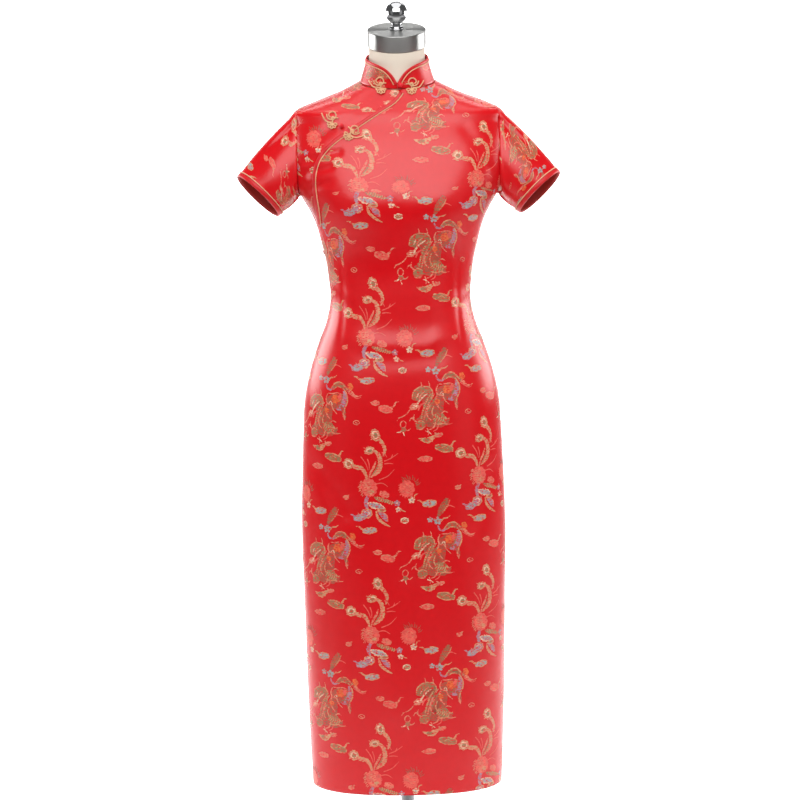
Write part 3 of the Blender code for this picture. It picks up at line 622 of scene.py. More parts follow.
# Soft straight troughs and ridges, seen from each side: from (x, z) to (x, z), half width, height.
FOLDS: dict[Facing, tuple[tuple[float, ...], ...]] = {
    FRONT: (
        (-0.168, 0.745, -0.105, 0.665, 0.022, -0.0035), (-0.158, 0.715, -0.110, 0.640, 0.018, 0.0025),
        (0.165, 0.730, 0.120, 0.640, 0.020, -0.0030), (-0.170, 1.262, -0.134, 1.212, 0.014, -0.0030),
        (0.170, 1.262, 0.134, 1.205, 0.014, -0.0030), (-0.120, 0.985, -0.060, 0.972, 0.014, 0.0022),
        (0.120, 0.990, 0.065, 0.975, 0.014, 0.0022), (-0.165, 1.322, -0.120, 1.350, 0.010, -0.0016),
        (-0.122, 1.068, -0.085, 1.050, 0.009, 0.0014), (-0.124, 1.036, -0.070, 1.024, 0.009, -0.0012),
        (0.124, 1.052, 0.078, 1.040, 0.009, 0.0012), (-0.060, 0.968, 0.050, 0.962, 0.015, 0.0012),
        (-0.030, 0.935, 0.070, 0.944, 0.016, -0.0010), (-0.090, 0.600, -0.020, 0.300, 0.035, 0.0020),
        (0.110, 0.640, 0.125, 0.220, 0.030, 0.0018), (0.020, 0.520, 0.060, 0.180, 0.036, -0.0016),
        (-0.140, 0.560, -0.150, 0.200, 0.020, -0.0016), (0.150, 1.300, 0.118, 1.345, 0.012, -0.0014),
        (0.020, 1.180, -0.030, 1.120, 0.022, 0.0010), (-0.128, 1.301, -0.104, 1.306, 0.0065, -0.0032),
        (-0.168, 1.289, -0.146, 1.297, 0.0065, -0.0034), (-0.172, 1.270, -0.152, 1.276, 0.0065, -0.0034),
        (-0.140, 1.274, -0.120, 1.279, 0.0060, -0.0028), (-0.152, 1.245, -0.124, 1.252, 0.0070, -0.0032),
        (0.138, 1.285, 0.162, 1.276, 0.0070, -0.0024), (-0.045, 1.045, 0.050, 1.045, 0.042, 0.0040),
    ),
    BACK: (
        (-0.115, 1.060, 0.020, 1.035, 0.016, 0.0030), (0.118, 1.020, -0.015, 1.000, 0.016, 0.0028),
        (-0.165, 1.260, -0.120, 1.190, 0.015, -0.0030), (0.165, 1.260, 0.122, 1.195, 0.015, -0.0030),
        (-0.168, 0.740, -0.110, 0.650, 0.020, -0.0030), (-0.100, 1.085, 0.060, 1.070, 0.012, -0.0016),
        (0.100, 0.985, -0.060, 0.968, 0.014, -0.0016), (-0.120, 1.300, -0.040, 1.330, 0.020, 0.0016),
        (0.120, 1.300, 0.050, 1.322, 0.020, 0.0014), (0.060, 0.640, 0.090, 0.240, 0.034, 0.0020),
        (-0.070, 0.600, -0.090, 0.200, 0.036, -0.0018), (0.150, 0.720, 0.110, 0.640, 0.018, -0.0024),
    ),
}


@dataclass(frozen=True)
class Dart:
    """A dart sewn into both sides of the front or back, as a line seen from that side."""

    facing: Facing
    line: tuple[Pair, ...]
    half_width: float = 0.0046
    depth: float = 0.0017


DARTS = (
    Dart(FRONT, ((0.098, 1.165), (0.104, 1.110), (0.102, 1.060), (0.104, 1.010), (0.110, 0.955))),
    Dart(BACK, ((0.086, 1.175), (0.083, 1.110), (0.080, 1.050), (0.083, 0.990), (0.088, 0.925))),
)


@dataclass
class BodySurface:
    """The smooth surface that all the body's cloth lies on.

    A place is a side height z and a share of the way from the middle, -1 to 1, to a side seam or armhole.
    """

    hem_z: float = 0.140
    neckline_z: float = 1.4325
    armhole_x: float = 0.180
    underarm_z: float = 1.20
    slit_top_z: float = 0.699
    hem_corner: float = 0.022
    seam_gap: float = 0.06 * MM  # all but closed, as sewn
    slit_insets: tuple[float, float] = (4.0 * MM, 0.8 * MM)
    bust: tuple[float, float, float, float, float] = (0.078, 1.206, 0.070, 0.052, 0.0085)
    folds_end: float = 0.86
    table_step: float = 0.002
    table_shares: int = 321
    heights: Array = field(init=False)
    places: dict[Facing, Array] = field(init=False)
    reaches: dict[Facing, Array] = field(init=False)

    def __post_init__(self) -> None:
        count = round((self.neckline_z - self.hem_z) / self.table_step) + 1
        self.heights = np.linspace(self.hem_z, self.neckline_z, count)
        self.places, self.reaches = {}, {}
        for facing in Facing:
            rings, reaches = [], []
            for z in self.heights:
                x, y, run = self.ring(z, facing)
                reach = run[-1] - self.inset(z, facing)
                at = np.linspace(0, 1, self.table_shares) * reach
                rings.append(np.stack([np.interp(at, run, x), np.interp(at, run, y)], axis=1))
                reaches.append(reach)
            self.places[facing] = np.array(rings)
            self.reaches[facing] = np.array(reaches)

    def rows(self, z: Array) -> Array:
        """The rings' sizes, on a smooth curve through the table.

        Args:
            z: Side heights.

        Returns:
            For each height, one row like the table's.
        """
        heights = BODY_ROWS[:, 0]
        slopes = np.gradient(BODY_ROWS, heights, axis=0)
        z = np.clip(z, heights[0], heights[-1])
        i = np.clip(np.searchsorted(heights, z) - 1, 0, len(heights) - 2)
        span = heights[i + 1] - heights[i]
        t = ((z - heights[i]) / span)[..., None]
        ends = slopes[i], slopes[i + 1]
        return eased(BODY_ROWS[i], BODY_ROWS[i + 1], ends, span[..., None], t)

    def ring(self, z: float, facing: Facing, cut: bool = True) -> tuple[Array, Array, Array]:
        """Half a ring, from its middle to its side or to the armhole.

        Args:
            z: The side height.
            facing: Front or back.
            cut: Whether the ring stops at the armhole.

        Returns:
            Arrays of x, of y, and of the distance run.
        """
        _, half_width, front, back, roundness, _ = self.rows(np.array(z))
        t = np.linspace(0, math.pi / 2, 600)
        x = half_width * np.sin(t) ** (2 / roundness)
        depth = front if facing is FRONT else back
        y = facing.value * depth * np.cos(t) ** (2 / roundness)
        if cut and z > self.underarm_z and half_width > self.armhole_x:
            end = int(np.searchsorted(x, self.armhole_x))
            y_end = np.interp(self.armhole_x, x, y)
            x, y = np.append(x[:end], self.armhole_x), np.append(y[:end], y_end)
        return x, y, np.concatenate([[0.0], np.cumsum(np.hypot(np.diff(x), np.diff(y)))])

    def inset(self, z: float, facing: Facing) -> float:
        """How far a panel's edge stays from the side seam's line, more along the slit."""
        opening = float(smoothstep(0, 0.10, np.array(self.slit_top_z - z)))
        most = self.slit_insets[0 if facing is FRONT else 1]
        return self.seam_gap / 2 + most * opening

    def reach(self, z: Array, facing: Facing) -> Array:
        """The distance along the cloth from the middle to the edge."""
        return np.interp(z, self.heights, self.reaches[facing])

    def hem_lift(self, z: Array, share: Array, facing: Facing) -> Array:
        """How much the hem's rounded corners lift a row.

        Args:
            z: Side heights.
            share: Shares of the way from the middle to the edges.
            facing: Front or back.

        Returns:
            The lifts.
        """
        run = self.hem_corner - (1 - np.abs(share)) * self.reach(z, facing)
        run = np.clip(run, 0, self.hem_corner)
        rise = self.hem_corner - np.sqrt(self.hem_corner**2 - run**2)
        return rise * (1 - smoothstep(self.hem_z, self.hem_z + 0.07, z))

    def bust_lift(self, x: Array, z: Array) -> Array:
        """The front's soft swelling on both sides."""
        at_x, at_z, half_x, half_z, height = self.bust
        return height * np.exp(-(((np.abs(x) - at_x) / half_x) ** 2) - ((z - at_z) / half_z) ** 2)

    def fold_lift(self, facing: Facing, x: Array, z: Array) -> Array:
        """How far the folds lift the cloth.

        Args:
            facing: Front or back.
            x: Places across, seen from that side.
            z: Places up.

        Returns:
            The lifts, less than none in a trough.
        """
        lift = np.zeros_like(x)
        for x0, z0, x1, z1, half_width, height in FOLDS[facing]:
            length = math.hypot(x1 - x0, z1 - z0)
            dx, dz = (x1 - x0) / length, (z1 - z0) / length
            run = (x - x0) * dx + (z - z0) * dz
            aside = (x - x0) * dz - (z - z0) * dx
            beyond = np.maximum(np.maximum(-run, run - length), 0)
            lift += height * np.exp(-((aside / half_width) ** 2) - (beyond / half_width) ** 2)
        return lift

    def dart_lift(self, facing: Facing, x: Array, z: Array) -> Array:
        """How far the darts' seams draw the cloth in, with the same arguments as fold_lift."""
        lift = np.zeros_like(x)
        for dart in DARTS:
            if dart.facing is not facing:
                continue
            line = np.array(dart.line)[::-1]
            middle = np.interp(z, line[:, 1], line[:, 0])
            low, high = line[0, 1], line[-1, 1]
            ends = smoothstep(low, low + 0.03, z) * (1 - smoothstep(high - 0.03, high, z))
            lift -= dart.depth * ends * np.exp(-(((np.abs(x) - middle) / dart.half_width) ** 2))
        return lift

    def place(self, z: Array, share: Array, facing: Facing) -> Array:
        """The points of the cloth's outer face.

        Args:
            z: Side heights.
            share: Shares of the way from the middle to the edges.
            facing: Front or back.

        Returns:
            Points, in an array with one more axis than z.
        """
        z = np.clip(z, self.hem_z, self.neckline_z)
        table = self.places[facing]
        row = (z - self.hem_z) / (self.heights[1] - self.heights[0])
        flat = between(table, row, np.minimum(np.abs(share), 1.0) * (self.table_shares - 1))
        x, y = np.sign(share) * flat[..., 0], flat[..., 1]
        height = z + self.rows(z)[..., 5] * y
        fade = 1 - smoothstep(self.folds_end, 1.0, np.abs(share))
        lift = self.fold_lift(facing, x, height) * fade + self.dart_lift(facing, x, height)
        if facing is FRONT:
            lift = lift + self.bust_lift(x, height)
        return np.stack([x, y + facing.value * lift, height], axis=-1)

    def framed(self, z: Array, share: Array, facing: Facing) -> tuple[Array, Array]:
        """Points of the outer face with the directions out of it, with the same arguments as place."""
        dz, ds = 0.0008, 0.004
        up = self.place(z + dz, share, facing) - self.place(z - dz, share, facing)
        wide = self.place(z, share + ds, facing) - self.place(z, share - ds, facing)
        out = unit(np.cross(wide, up)) * (-facing.value)
        out *= np.where((out[..., 1] * facing.value)[..., None] < -0.2, -1.0, 1.0)
        return self.place(z, share, facing), out


@dataclass
class Grid:
    """Rows of points, as cloth or as something for trims to be laid on."""

    points: Array  # rows x columns x 3
    ring: bool = False

    def flat(self) -> Array:
        """The points in one list."""
        return self.points.reshape(-1, 3)

    def faces(self) -> Array:
        """Quads over the points."""
        return grid_faces(*self.points.shape[:2], self.ring)

    def tree(self) -> BVHTree:
        """A search tree over the surface."""
        return BVHTree.FromPolygons(self.flat().tolist(), self.faces().tolist())


@dataclass
class FrontSkin:
    """The foremost of several surfaces, for laying trims and cords on from the front."""

    trees: list[BVHTree]
    tries: int = 60
    inward: float = 0.99
    downward: float = 1.0 * MM

    def lay(self, places: Iterable[Sequence[float]], height: float) -> Array:
        """Points a height off the surface, over (x, z) pairs seen from the front."""
        return np.array([self.touch(float(x), float(z), height) for x, z in places])

    def touch(self, x: float, z: float, height: float) -> Vector:
        """One point over the surface, a little further in where (x, z) is past its edge.

        Args:
            x: Across, seen from the front.
            z: Up.
            height: How far off the surface.

        Returns:
            The point.
        """
        for _ in range(self.tries):
            rays = [t.ray_cast(Vector((x, -1, z)), Vector((0, 1, 0)), 1.0) for t in self.trees]
            hits = [ray for ray in rays if ray[0] is not None]
            if hits:
                place, normal = min(hits, key=lambda hit: hit[0].y)[:2]
                return place + (normal if normal.y <= 0 else -normal) * height
            x, z = x * self.inward, z - self.downward
        raise ValueError(f"nothing lies behind x {x:.3f}, z {z:.3f}")


# ---- the front overlap's edge


@dataclass
class FlapEdge:
    """The curved edge of the front overlap, from the neck to the side seam, seen from the front."""

    through: tuple[Pair, ...] = (
        (0.0080, 1.4300), (0.0060, 1.4140), (-0.0060, 1.3970), (-0.0300, 1.3805),
        (-0.0540, 1.3650), (-0.0800, 1.3480), (-0.1110, 1.3280), (-0.1355, 1.3050),
        (-0.1480, 1.2810), (-0.1520, 1.2570), (-0.1505, 1.2290), (-0.1470, 1.2010),
        (-0.1455, 1.1800), (-0.1475, 1.1600), (-0.1560, 1.1400),
    )
    step: float = 0.004
    path: Array = field(init=False)

    def __post_init__(self) -> None:
        """Smooths the edge."""
        self.path = smooth_path(self.through, self.step)

    def past(self, x: Array, z: Array) -> tuple[Array, Array]:
        """How far places are past the edge, on the underlap's side, and the nearest point of it.

        Args:
            x: Across, seen from the front.
            z: Up.

        Returns:
            Signed distances, and (x, z) pairs on the edge.
        """
        best = np.full(x.shape, 1e9)
        signed, nearest = np.zeros(x.shape), np.zeros((*x.shape, 2))
        for (x0, z0), (x1, z1) in zip(self.path, self.path[1:]):
            dx, dz = x1 - x0, z1 - z0
            t = np.clip(((x - x0) * dx + (z - z0) * dz) / (dx * dx + dz * dz), 0, 1)
            near = np.stack([x0 + t * dx, z0 + t * dz], axis=-1)
            gap = np.hypot(x - near[..., 0], z - near[..., 1])
            side = dz * (x - x0) - dx * (z - z0)
            closer = gap < best
            signed = np.where(closer, np.copysign(gap, side), signed)
            nearest = np.where(closer[..., None], near, nearest)
            best = np.minimum(best, gap)
        return signed, nearest


# ---- woven motifs


@dataclass(frozen=True)
class Stroke:
    """A float of weft drawn as a ribbon, in millimetres on the flat cloth."""

    weft: Weft
    through: tuple[Pair, ...]
    widths: tuple[float, ...]
    layer: int = 1
    closed: bool = False

    def shape(self) -> tuple[Array, Array]:
        """The ribbon's points and quads."""
        path = smooth_path(self.through, 2.2, self.closed)
        share = np.linspace(0, 1, len(path))
        width = np.interp(share, np.linspace(0, 1, len(self.widths)), self.widths)
        width *= 1 + 0.16 * np.sin(2.4 * np.arange(len(path)) + self.through[0][0])
        run = ahead_of(path, self.closed)
        aside = np.stack([-run[:, 1], run[:, 0]], axis=1)
        lanes = max(1, math.ceil(max(self.widths) / 3.4))
        shares = np.linspace(-0.5, 0.5, lanes + 1)
        rows = path[:, None] + aside[:, None] * width[:, None, None] * shares[None, :, None]
        return rows.reshape(-1, 2), grid_faces(len(path), lanes + 1, loop=self.closed)


@dataclass(frozen=True)
class Spot:
    """A filled ellipse of weft, with a plain or a scalloped edge, in millimetres."""

    weft: Weft
    middle: Pair
    half_width: float
    half_height: float
    lean: float = 0.0
    layer: int = 1
    scallops: int = 0
    scallop: float = 0.14

    def shape(self) -> tuple[Array, Array]:
        """The patch's points and quads."""
        size = max(self.half_width, self.half_height)
        round_count = max(10, int(size * 2.2), self.scallops * 5)
        rings = max(1, math.ceil(size / 3.4))
        angle = np.linspace(0, math.tau, round_count, endpoint=False)
        edge = 1 + (self.scallop * np.abs(np.sin(angle * self.scallops / 2)) if self.scallops else 0)
        circle = np.stack([np.cos(angle) * self.half_width, np.sin(angle) * self.half_height], axis=1)
        circle = circle * np.broadcast_to(edge, angle.shape)[:, None]
        turn = np.array([
            [math.cos(self.lean), math.sin(self.lean)],
            [-math.sin(self.lean), math.cos(self.lean)],
        ])
        shares = np.linspace(0.02, 1, rings + 1)
        rows = shares[:, None, None] * circle[None]
        points = rows.reshape(-1, 2) @ turn + np.array(self.middle)
        return points, grid_faces(rings + 1, round_count, ring=True)


Shape = Stroke | Spot
# The wefts by letter, as on a weaver's chart.
G, O, S, L = Weft.GOLD, Weft.OLIVE, Weft.SLATE, Weft.LAVENDER
C, N, B, I, R = Weft.CORAL, Weft.ORANGE, Weft.BLUSH, Weft.IVORY, Weft.RUST


@dataclass(frozen=True)
class Motifs:
    """Draws the brocade's figures, each about its own middle, in millimetres."""

    @staticmethod
    def moved(shapes: Iterable[Shape], x: float, y: float) -> list[Shape]:
        """Shapes carried to another place on the cloth.

        Args:
            shapes: The shapes.
            x: How far across.
            y: How far up.

        Returns:
            Moved copies.
        """

        def carried(place: Pair) -> Pair:
            """A place moved."""
            return x + place[0], y + place[1]

        return [
            replace(s, through=tuple(carried(place) for place in s.through))
            if isinstance(s, Stroke)
            else replace(s, middle=carried(s.middle))
            for s in shapes
        ]

    @staticmethod
    def line(weft: Weft, widths: tuple[float, ...], *through: Pair, layer: int = 1) -> Stroke:
        """A float of weft through the given points, a little bolder than its widths say."""
        return Stroke(weft, through, tuple(w + 0.35 for w in widths), layer)

    def cloud(
        self, core: Weft, edge: Weft, at: Pair, size: Pair, tail: Pair, lean: float = 0.0
    ) -> list[Shape]:
        """A lucky cloud: a scalloped lozenge with a paler edge and a curling wisp.

        Args:
            core: The weft inside.
            edge: The weft of the edge and the wisp.
            at: The cloud's middle.
            size: How wide and how high it is.
            tail: Where the wisp ends, from the middle.
            lean: How far it is turned, in radians.

        Returns:
            The cloud.
        """
        (x, y), (w, h), (u, v) = at, size, tail
        side = math.copysign(0.26, u)
        mark = ((x - 0.2 * w, y), (x, y + 0.2 * h), (x + 0.2 * w, y - 0.1 * h))
        wisp = (
            (x + side * w, y + 0.1 * v), (x + 0.62 * u, y + 0.45 * v),
            (x + 0.78 * u, y + 0.95 * v), (x + u, y + v),
        )
        return [
            Spot(edge, at, w / 2, h / 2, lean, 1, 6, 0.12),
            Spot(core, at, w / 2 - 2.4, h / 2 - 2.2, lean, 2, 5, 0.25),
            self.line(edge, (1.0, 1.2, 0.8), *mark, layer=3),
            self.line(edge, (3.2, 3.0, 2.6, 0.8), *wisp),
        ]

    def floret(self, petal: Weft, heart: Weft, x: float, y: float, size: float) -> list[Shape]:
        """A small five-petalled flower.

        Args:
            petal: The petals' weft.
            heart: The weft of its middle.
            x: Where it is, across.
            y: Where it is, up.
            size: How wide it is.

        Returns:
            The flower.
        """
        out: list[Shape] = []
        for k in range(5):
            a = math.tau * k / 5 + 0.3
            middle = (x + 0.28 * size * math.cos(a), y + 0.28 * size * math.sin(a))
            out.append(Spot(petal, middle, 0.22 * size, 0.18 * size, a))
        return [*out, Spot(heart, (x, y), 0.13 * size, 0.13 * size, 0, 2)]

    def bars(self, weft: Weft, path: Sequence[Pair], count: int, width: float, layer: int) -> list[Shape]:
        """Short bars across a path, as scales or ribs.

        Args:
            weft: What they are woven of.
            path: Points of the path.
            count: How many bars.
            width: Their length, across the path.
            layer: How high they lie.

        Returns:
            The bars.
        """
        line = smooth_path(path, 1.0)
        run = ahead_of(line)
        out: list[Shape] = []
        for k in range(count):
            i = int((k + 0.5) / count * (len(line) - 1))
            (x, y), (u, v) = line[i], run[i] * width / 2
            bend = (x + u * 0.4, y + v * 0.4)
            out.append(self.line(weft, (0.7, 1.7, 0.7), (x - v, y + u), bend, (x + v, y - u), layer=layer))
        return out

    def fringe(self, weft: Weft, path: Sequence[Pair], count: int, length: float, lean: float) -> list[Shape]:
        """Small tapering tongues along one side of a path, as fins, manes or feathers.

        Args:
            weft: What they are woven of.
            path: Points of the path.
            count: How many tongues.
            length: Their length, less than none on the path's right.
            lean: How far they lie back along the path.

        Returns:
            The tongues.
        """
        line = smooth_path(path, 1.0)
        run = ahead_of(line)
        out: list[Shape] = []
        for k in range(count):
            i = int((k + 0.5) / count * (len(line) - 1))
            (x, y), (u, v) = line[i], run[i] * length * (0.8 + 0.4 * (k % 2))
            bend = (x - v * 0.6 - u * lean * 0.2, y + u * 0.6 - v * lean * 0.2)
            tip = (x - v - u * lean, y + u - v * lean)
            out.append(self.line(weft, (2.0, 1.7, 0.5), (x, y), bend, tip))
        return out

    def dragon(self) -> list[Shape]:
        """A coiling dragon, its head to the left, with a mane of flames and a pearl below."""
        line = self.line
        coil = ((-2, 19), (-12, 3), (-18, -12), (-22, -28))
        under: list[Shape] = [
            Spot(R, (-23, 17), 16, 12, 0.4, 0, 7, 0.14),
            Spot(R, (-9, -6), 10, 23, 0.35, 0, 7, 0.14),
            Spot(R, (7, -8), 9, 22, -0.1, 0, 7, 0.14),
            Spot(R, (-2, -32), 27, 11, -0.1, 0, 9, 0.14),
            Spot(R, (22, 18), 17, 13, 0.2, 0, 7, 0.14),
            line(R, (5, 9, 9, 4), (16, 42), (26, 48), (38, 46), (50, 38)),
            line(R, (4, 7, 5), (34, 12), (40, 0), (41, -10)),
            line(R, (6, 13, 12, 4), (21, 98), (17, 88), (11, 78), (4, 65)),
        ]
        mane: list[Shape] = [
            line(O, (3, 6.5, 7, 5), (17, 43), (25, 48.5), (34, 49), (40, 43)),
            line(G, (1, 2, 2, 2, 1.2), (14, 41), (24, 52), (34.5, 53), (42, 46), (48, 40), layer=2),
            line(G, (1, 1.6, 1.2), (19, 40), (27, 45), (35, 44), layer=2),
            Spot(N, (52.5, 46), 4.6, 6.0, 0.5, 2, 5, 0.2),
            line(B, (4, 5, 3, 0.8), (45, 41), (54, 36), (61, 29.5), (68, 28.5), (74, 31)),
            line(C, (1, 1.6, 0.6), (48, 35), (57, 29), (66, 25), (72, 27), layer=2),
            line(L, (3, 7, 8, 8, 3), (40, 38), (42, 27), (38, 14), (31, 5), (25, 6)),
            line(G, (1.2, 2.2, 2.4, 2, 1.4), (39, 43), (46, 31), (46.5, 18), (42, 8), (39, -4), layer=2),
            line(B, (1, 4.4, 0.8), (38, -2), (40.5, -8), (41.5, -14), layer=2),
            line(O, (0.8, 1.6, 1.2), (37, 32), (34, 17), (26, 9), layer=3),
            line(L, (2, 3.6, 1), (3.6, 49), (6, 42), (14.5, 39), (20, 44)),
            Spot(N, (24, 23), 7.6, 7.0, 0, 1, 7, 0.2),
            Spot(C, (33, 26), 4.4, 5.0, 0, 2, 5, 0.2),
            line(B, (1, 2, 1.6, 1), (9, 33), (17, 32.5), (27, 34), (38, 31)),
            line(B, (1, 2.6, 2.4, 2, 1.8, 0.8), (7, 32), (3.6, 22), (7, 14), (14, 13), (19, 4), (27, -4)),
            line(I, (0.8, 1.8, 0.8), (10, 15), (14, 19), (17, 12), layer=2),
            line(O, (3, 9, 8, 3), (21, 97), (17, 88), (11, 78), (5, 67)),
            line(G, (0.8, 1.6, 1), (26, 94), (21, 83), (12, 72), layer=2),
            line(C, (1.6, 2, 0.6), (16, 80), (24, 84), (35, 80)),
            *self.floret(S, O, 3, 57, 15.5),
            *self.floret(S, B, -10.5, 59.5, 11),
            line(G, (1.6, 2.4, 1.8, 0.6), (9, 55), (14, 61), (20, 61.5), (26, 65.5)),
        ]
        head: list[Shape] = [
            Spot(O, (-24, 20), 12, 7.6, 0.35, 1, 7, 0.16),
            Spot(O, (-33, 11), 6.4, 5.4, 0.6, 1, 5, 0.16),
            line(O, (3, 6, 5, 2), (-14, 26), (-7, 20), (-6, 10), (-10, 1)),
            line(G, (0.8, 1.8, 1.6, 0.8), (-40, 8), (-37, 20), (-27, 28), (-19, 30), layer=2),
            line(G, (1, 1.8, 1.8, 1), (-19, 29.5), (-9, 28), (-3, 19), (-6, 8), layer=2),
            line(B, (1, 1.8, 1), (-17, 21), (-25, 13), (-27, 6), layer=2),
            line(I, (1, 2.2, 0.8), (-28, 18), (-30, 14), (-32, 9), layer=2),
            line(I, (1.2, 2.4, 2.6, 1.5), (-12, 17), (-22, 9.5), (-29, 1), (-33, -7), layer=3),
            line(B, (1.8, 1.5, 0.7), (-23, 27), (-22.5, 33), (-24, 38)),
            line(B, (1.8, 1.5, 0.7), (-8.6, 27), (-8.5, 33), (-10.5, 39)),
            Spot(B, (-36, -6), 7.8, 5.2, 0.4, 2, 6, 0.2),
            Spot(I, (-37, -6), 3.4, 2.2, 0.4, 3),
            line(C, (2, 3, 1), (-29, -13), (-25, -4), (-16, 1)),
            line(B, (1.8, 1.6, 1.5, 0.7), (-43, -10), (-50, -19), (-56, -23), (-65, -26)),
            line(B, (1.2, 1.4, 0.7), (-57, -24), (-63, -26), (-67, -31)),
        ]
        body: list[Shape] = []
        for k, weft in enumerate((G, B, O)):
            body.append(line(weft, (1.4, 2.8, 2.6, 1.6), *((x + 4.6 * k - 2, y - 2.5 * k) for x, y in coil)))
        body += [
            *self.bars(O, coil, 13, 8, 1),
            line(B, (1.6, 2.2, 2.2, 1.2), (-7, -3), (-14, -17), (-11.5, -26), (-6, -31), layer=2),
            line(G, (1.6, 2.4, 1.6), (-1.5, -6), (-4.6, -17), (-1, -25)),
            line(B, (1.6, 3.2, 3, 1.2), (6, 17), (3, 5), (6, -6), (12, -13), layer=2),
            Spot(N, (5, 2), 4.4, 4.2, 0, 3, 5, 0.2),
            Spot(O, (9, -28), 12, 8.4, -0.3, 1, 7, 0.16),
            *self.bars(G, ((-2, -25), (8, -29), (20, -31)), 6, 11, 2),
            line(G, (1, 2.2, 1), (-3, -37), (8, -38.5), (20, -36), layer=2),
            line(B, (1.8, 2, 0.7), (12, -20), (18, -16), (25, -19)),
            line(G, (2.2, 2, 0.7), (18, -27), (24, -30), (27, -28)),
            line(B, (2, 2, 0.7), (14, -37), (24, -39), (33, -38)),
            Spot(O, (-25, -40), 8.4, 7.2, 0.4, 1, 6, 0.16),
            line(G, (1, 2, 1), (-34, -37), (-26, -31.5), (-17, -35), layer=2),
            line(B, (1, 2, 1), (-33, -46), (-25, -47), (-18, -42), layer=2),
            line(B, (2.4, 2.2, 0.8), (-32, -34), (-38, -28), (-36, -20)),
            line(B, (1.8, 1.8, 0.8), (-36, -26), (-42, -27), (-45, -32)),
            line(B, (1.8, 2.4, 1), (2, -34), (-3, -45), (-10, -48)),
            line(C, (1.6, 2, 0.8), (7, -39), (4, -47), (-3, -51)),
            line(I, (1.6, 1.8, 0.8), (-17, -50), (-11, -52), (-6, -56)),
            line(B, (1.6, 1.6, 0.8), (-14, -45), (-11, -52), (-12, -58)),
            line(G, (1, 8, 11, 5, 0.6), (-29, -63), (-20, -66), (-13, -67), (-2, -61), (7, -54)),
            Spot(O, (-16, -66), 5, 3, 0, 2, 5, 0.2),
        ]
        pearl: list[Shape] = [
            Stroke(B, ((-56, -31), (-51, -36), (-54, -43), (-59, -43), (-61, -36)), (1.6, 2), 2, True),
            Spot(O, (-56, -47), 4.2, 3.6, 0, 2, 5, 0.2),
            line(I, (2.4, 1.8, 0.8), (-57, -46), (-62, -51), (-68, -52)),
            line(I, (2.4, 1.8, 0.8), (-56, -46), (-56, -53), (-54, -58)),
            line(B, (2.4, 1.8, 0.8), (-55, -45), (-49, -49), (-43, -45)),
        ]
        return [*under, *mane, *head, *body, *pearl]

    def plume(self, core: Weft, eye: Pair, size: Pair, widths: tuple[float, ...], *band: Pair) -> list[Shape]:
        """A tail feather: a pointed eye, and a band from the eye to the root.

        Args:
            core: The weft in the eye's middle.
            eye: The eye's middle.
            size: How wide and how high the eye is.
            widths: Widths of the band.
            band: Points of the band.

        Returns:
            The feather.
        """
        (x, y), (w, h) = eye, size
        root = (*((u - 1.4, v - 1.0) for u, v in band),)
        rim = ((x + 0.2 * w, y + 0.42 * h), (x - 0.42 * w, y + 0.2 * h), (x - 0.3 * w, y - 0.4 * h))
        return [
            self.line(G, widths, *band),
            self.line(B, tuple(0.3 * a for a in widths), *root, layer=2),
            Spot(G, eye, w / 2, h / 2, 0.3, 1, 8, 0.12),
            Spot(I, eye, w / 2 - 2.2, h / 2 - 2.4, 0.3, 2),
            Spot(core, (x + 0.6, y - 0.6), 0.24 * w, 0.22 * h, 0.3, 3),
            *self.fringe(B, rim, 6, -3.2, 0.4),
        ]

    def phoenix(self) -> list[Shape]:
        """A phoenix stooping head down, its tail plumes swept up."""
        line = self.line
        tail: list[Shape] = [
            *self.plume(O, (13, 95), (15, 21), (7, 6.4, 5.6, 2), (17, 89), (26, 79), (29.5, 69), (27, 57)),
            *self.plume(
                O, (2, 67), (18, 12.5), (4, 7.4, 7.8, 7.4, 3), (8, 68), (17, 61), (21, 48), (19, 33), (4, 19)
            ),
            *self.plume(
                O, (-37, 43), (18, 18), (6, 8, 7, 5.5, 3),
                (-32, 40), (-22, 36.5), (-13, 35), (-7, 27), (-3, 15),
            ),
            line(B, (1.5, 4, 3.4, 1), (13.5, 48), (9, 37), (2, 24), (0, 16)),
            line(O, (0.6, 2.2, 0.8), (16.5, 42), (13, 33), (6, 23), layer=3),
            *[line(C, (1.8, 1.5, 0.6), *ray) for ray in (
                ((28, 48), (40, 53), (53, 62)), ((39, 52), (42, 56), (43, 60)),
                ((28, 43), (36, 44), (44, 43)), ((18, 14), (34, 21), (46, 33)),
                ((10, 6), (24, 8), (34, 2)), ((-14, 56), (-5, 43), (-1, 31)),
                ((-2, 52), (1, 42), (1, 32)), ((24, 64), (30, 60), (33, 55)),
            )],
        ]
        bird: list[Shape] = [
            Spot(C, (0, 0), 13.5, 15.5, 0.25, 1, 12, 0.12),
            *self.fringe(B, ((-12, 12), (-15, -2), (-9, -15)), 9, -4.5, 0.4),
            *self.bars(B, ((-4, 12), (-3, 0), (2, -12)), 8, 14, 2),
            Spot(G, (5, -8), 4.6, 4, 0.4, 3),
            Spot(C, (27, -12), 8, 5.6, -0.3, 1, 6, 0.2),
            *self.bars(B, ((19, -9), (28, -12), (35, -16)), 6, 8, 2),
            line(O, (3, 8, 7, 5, 1), (9, -17), (18, -21), (28, -23), (38, -27), (47, -28)),
            *self.bars(G, ((12, -18), (26, -23), (42, -28)), 8, 7, 2),
        ]
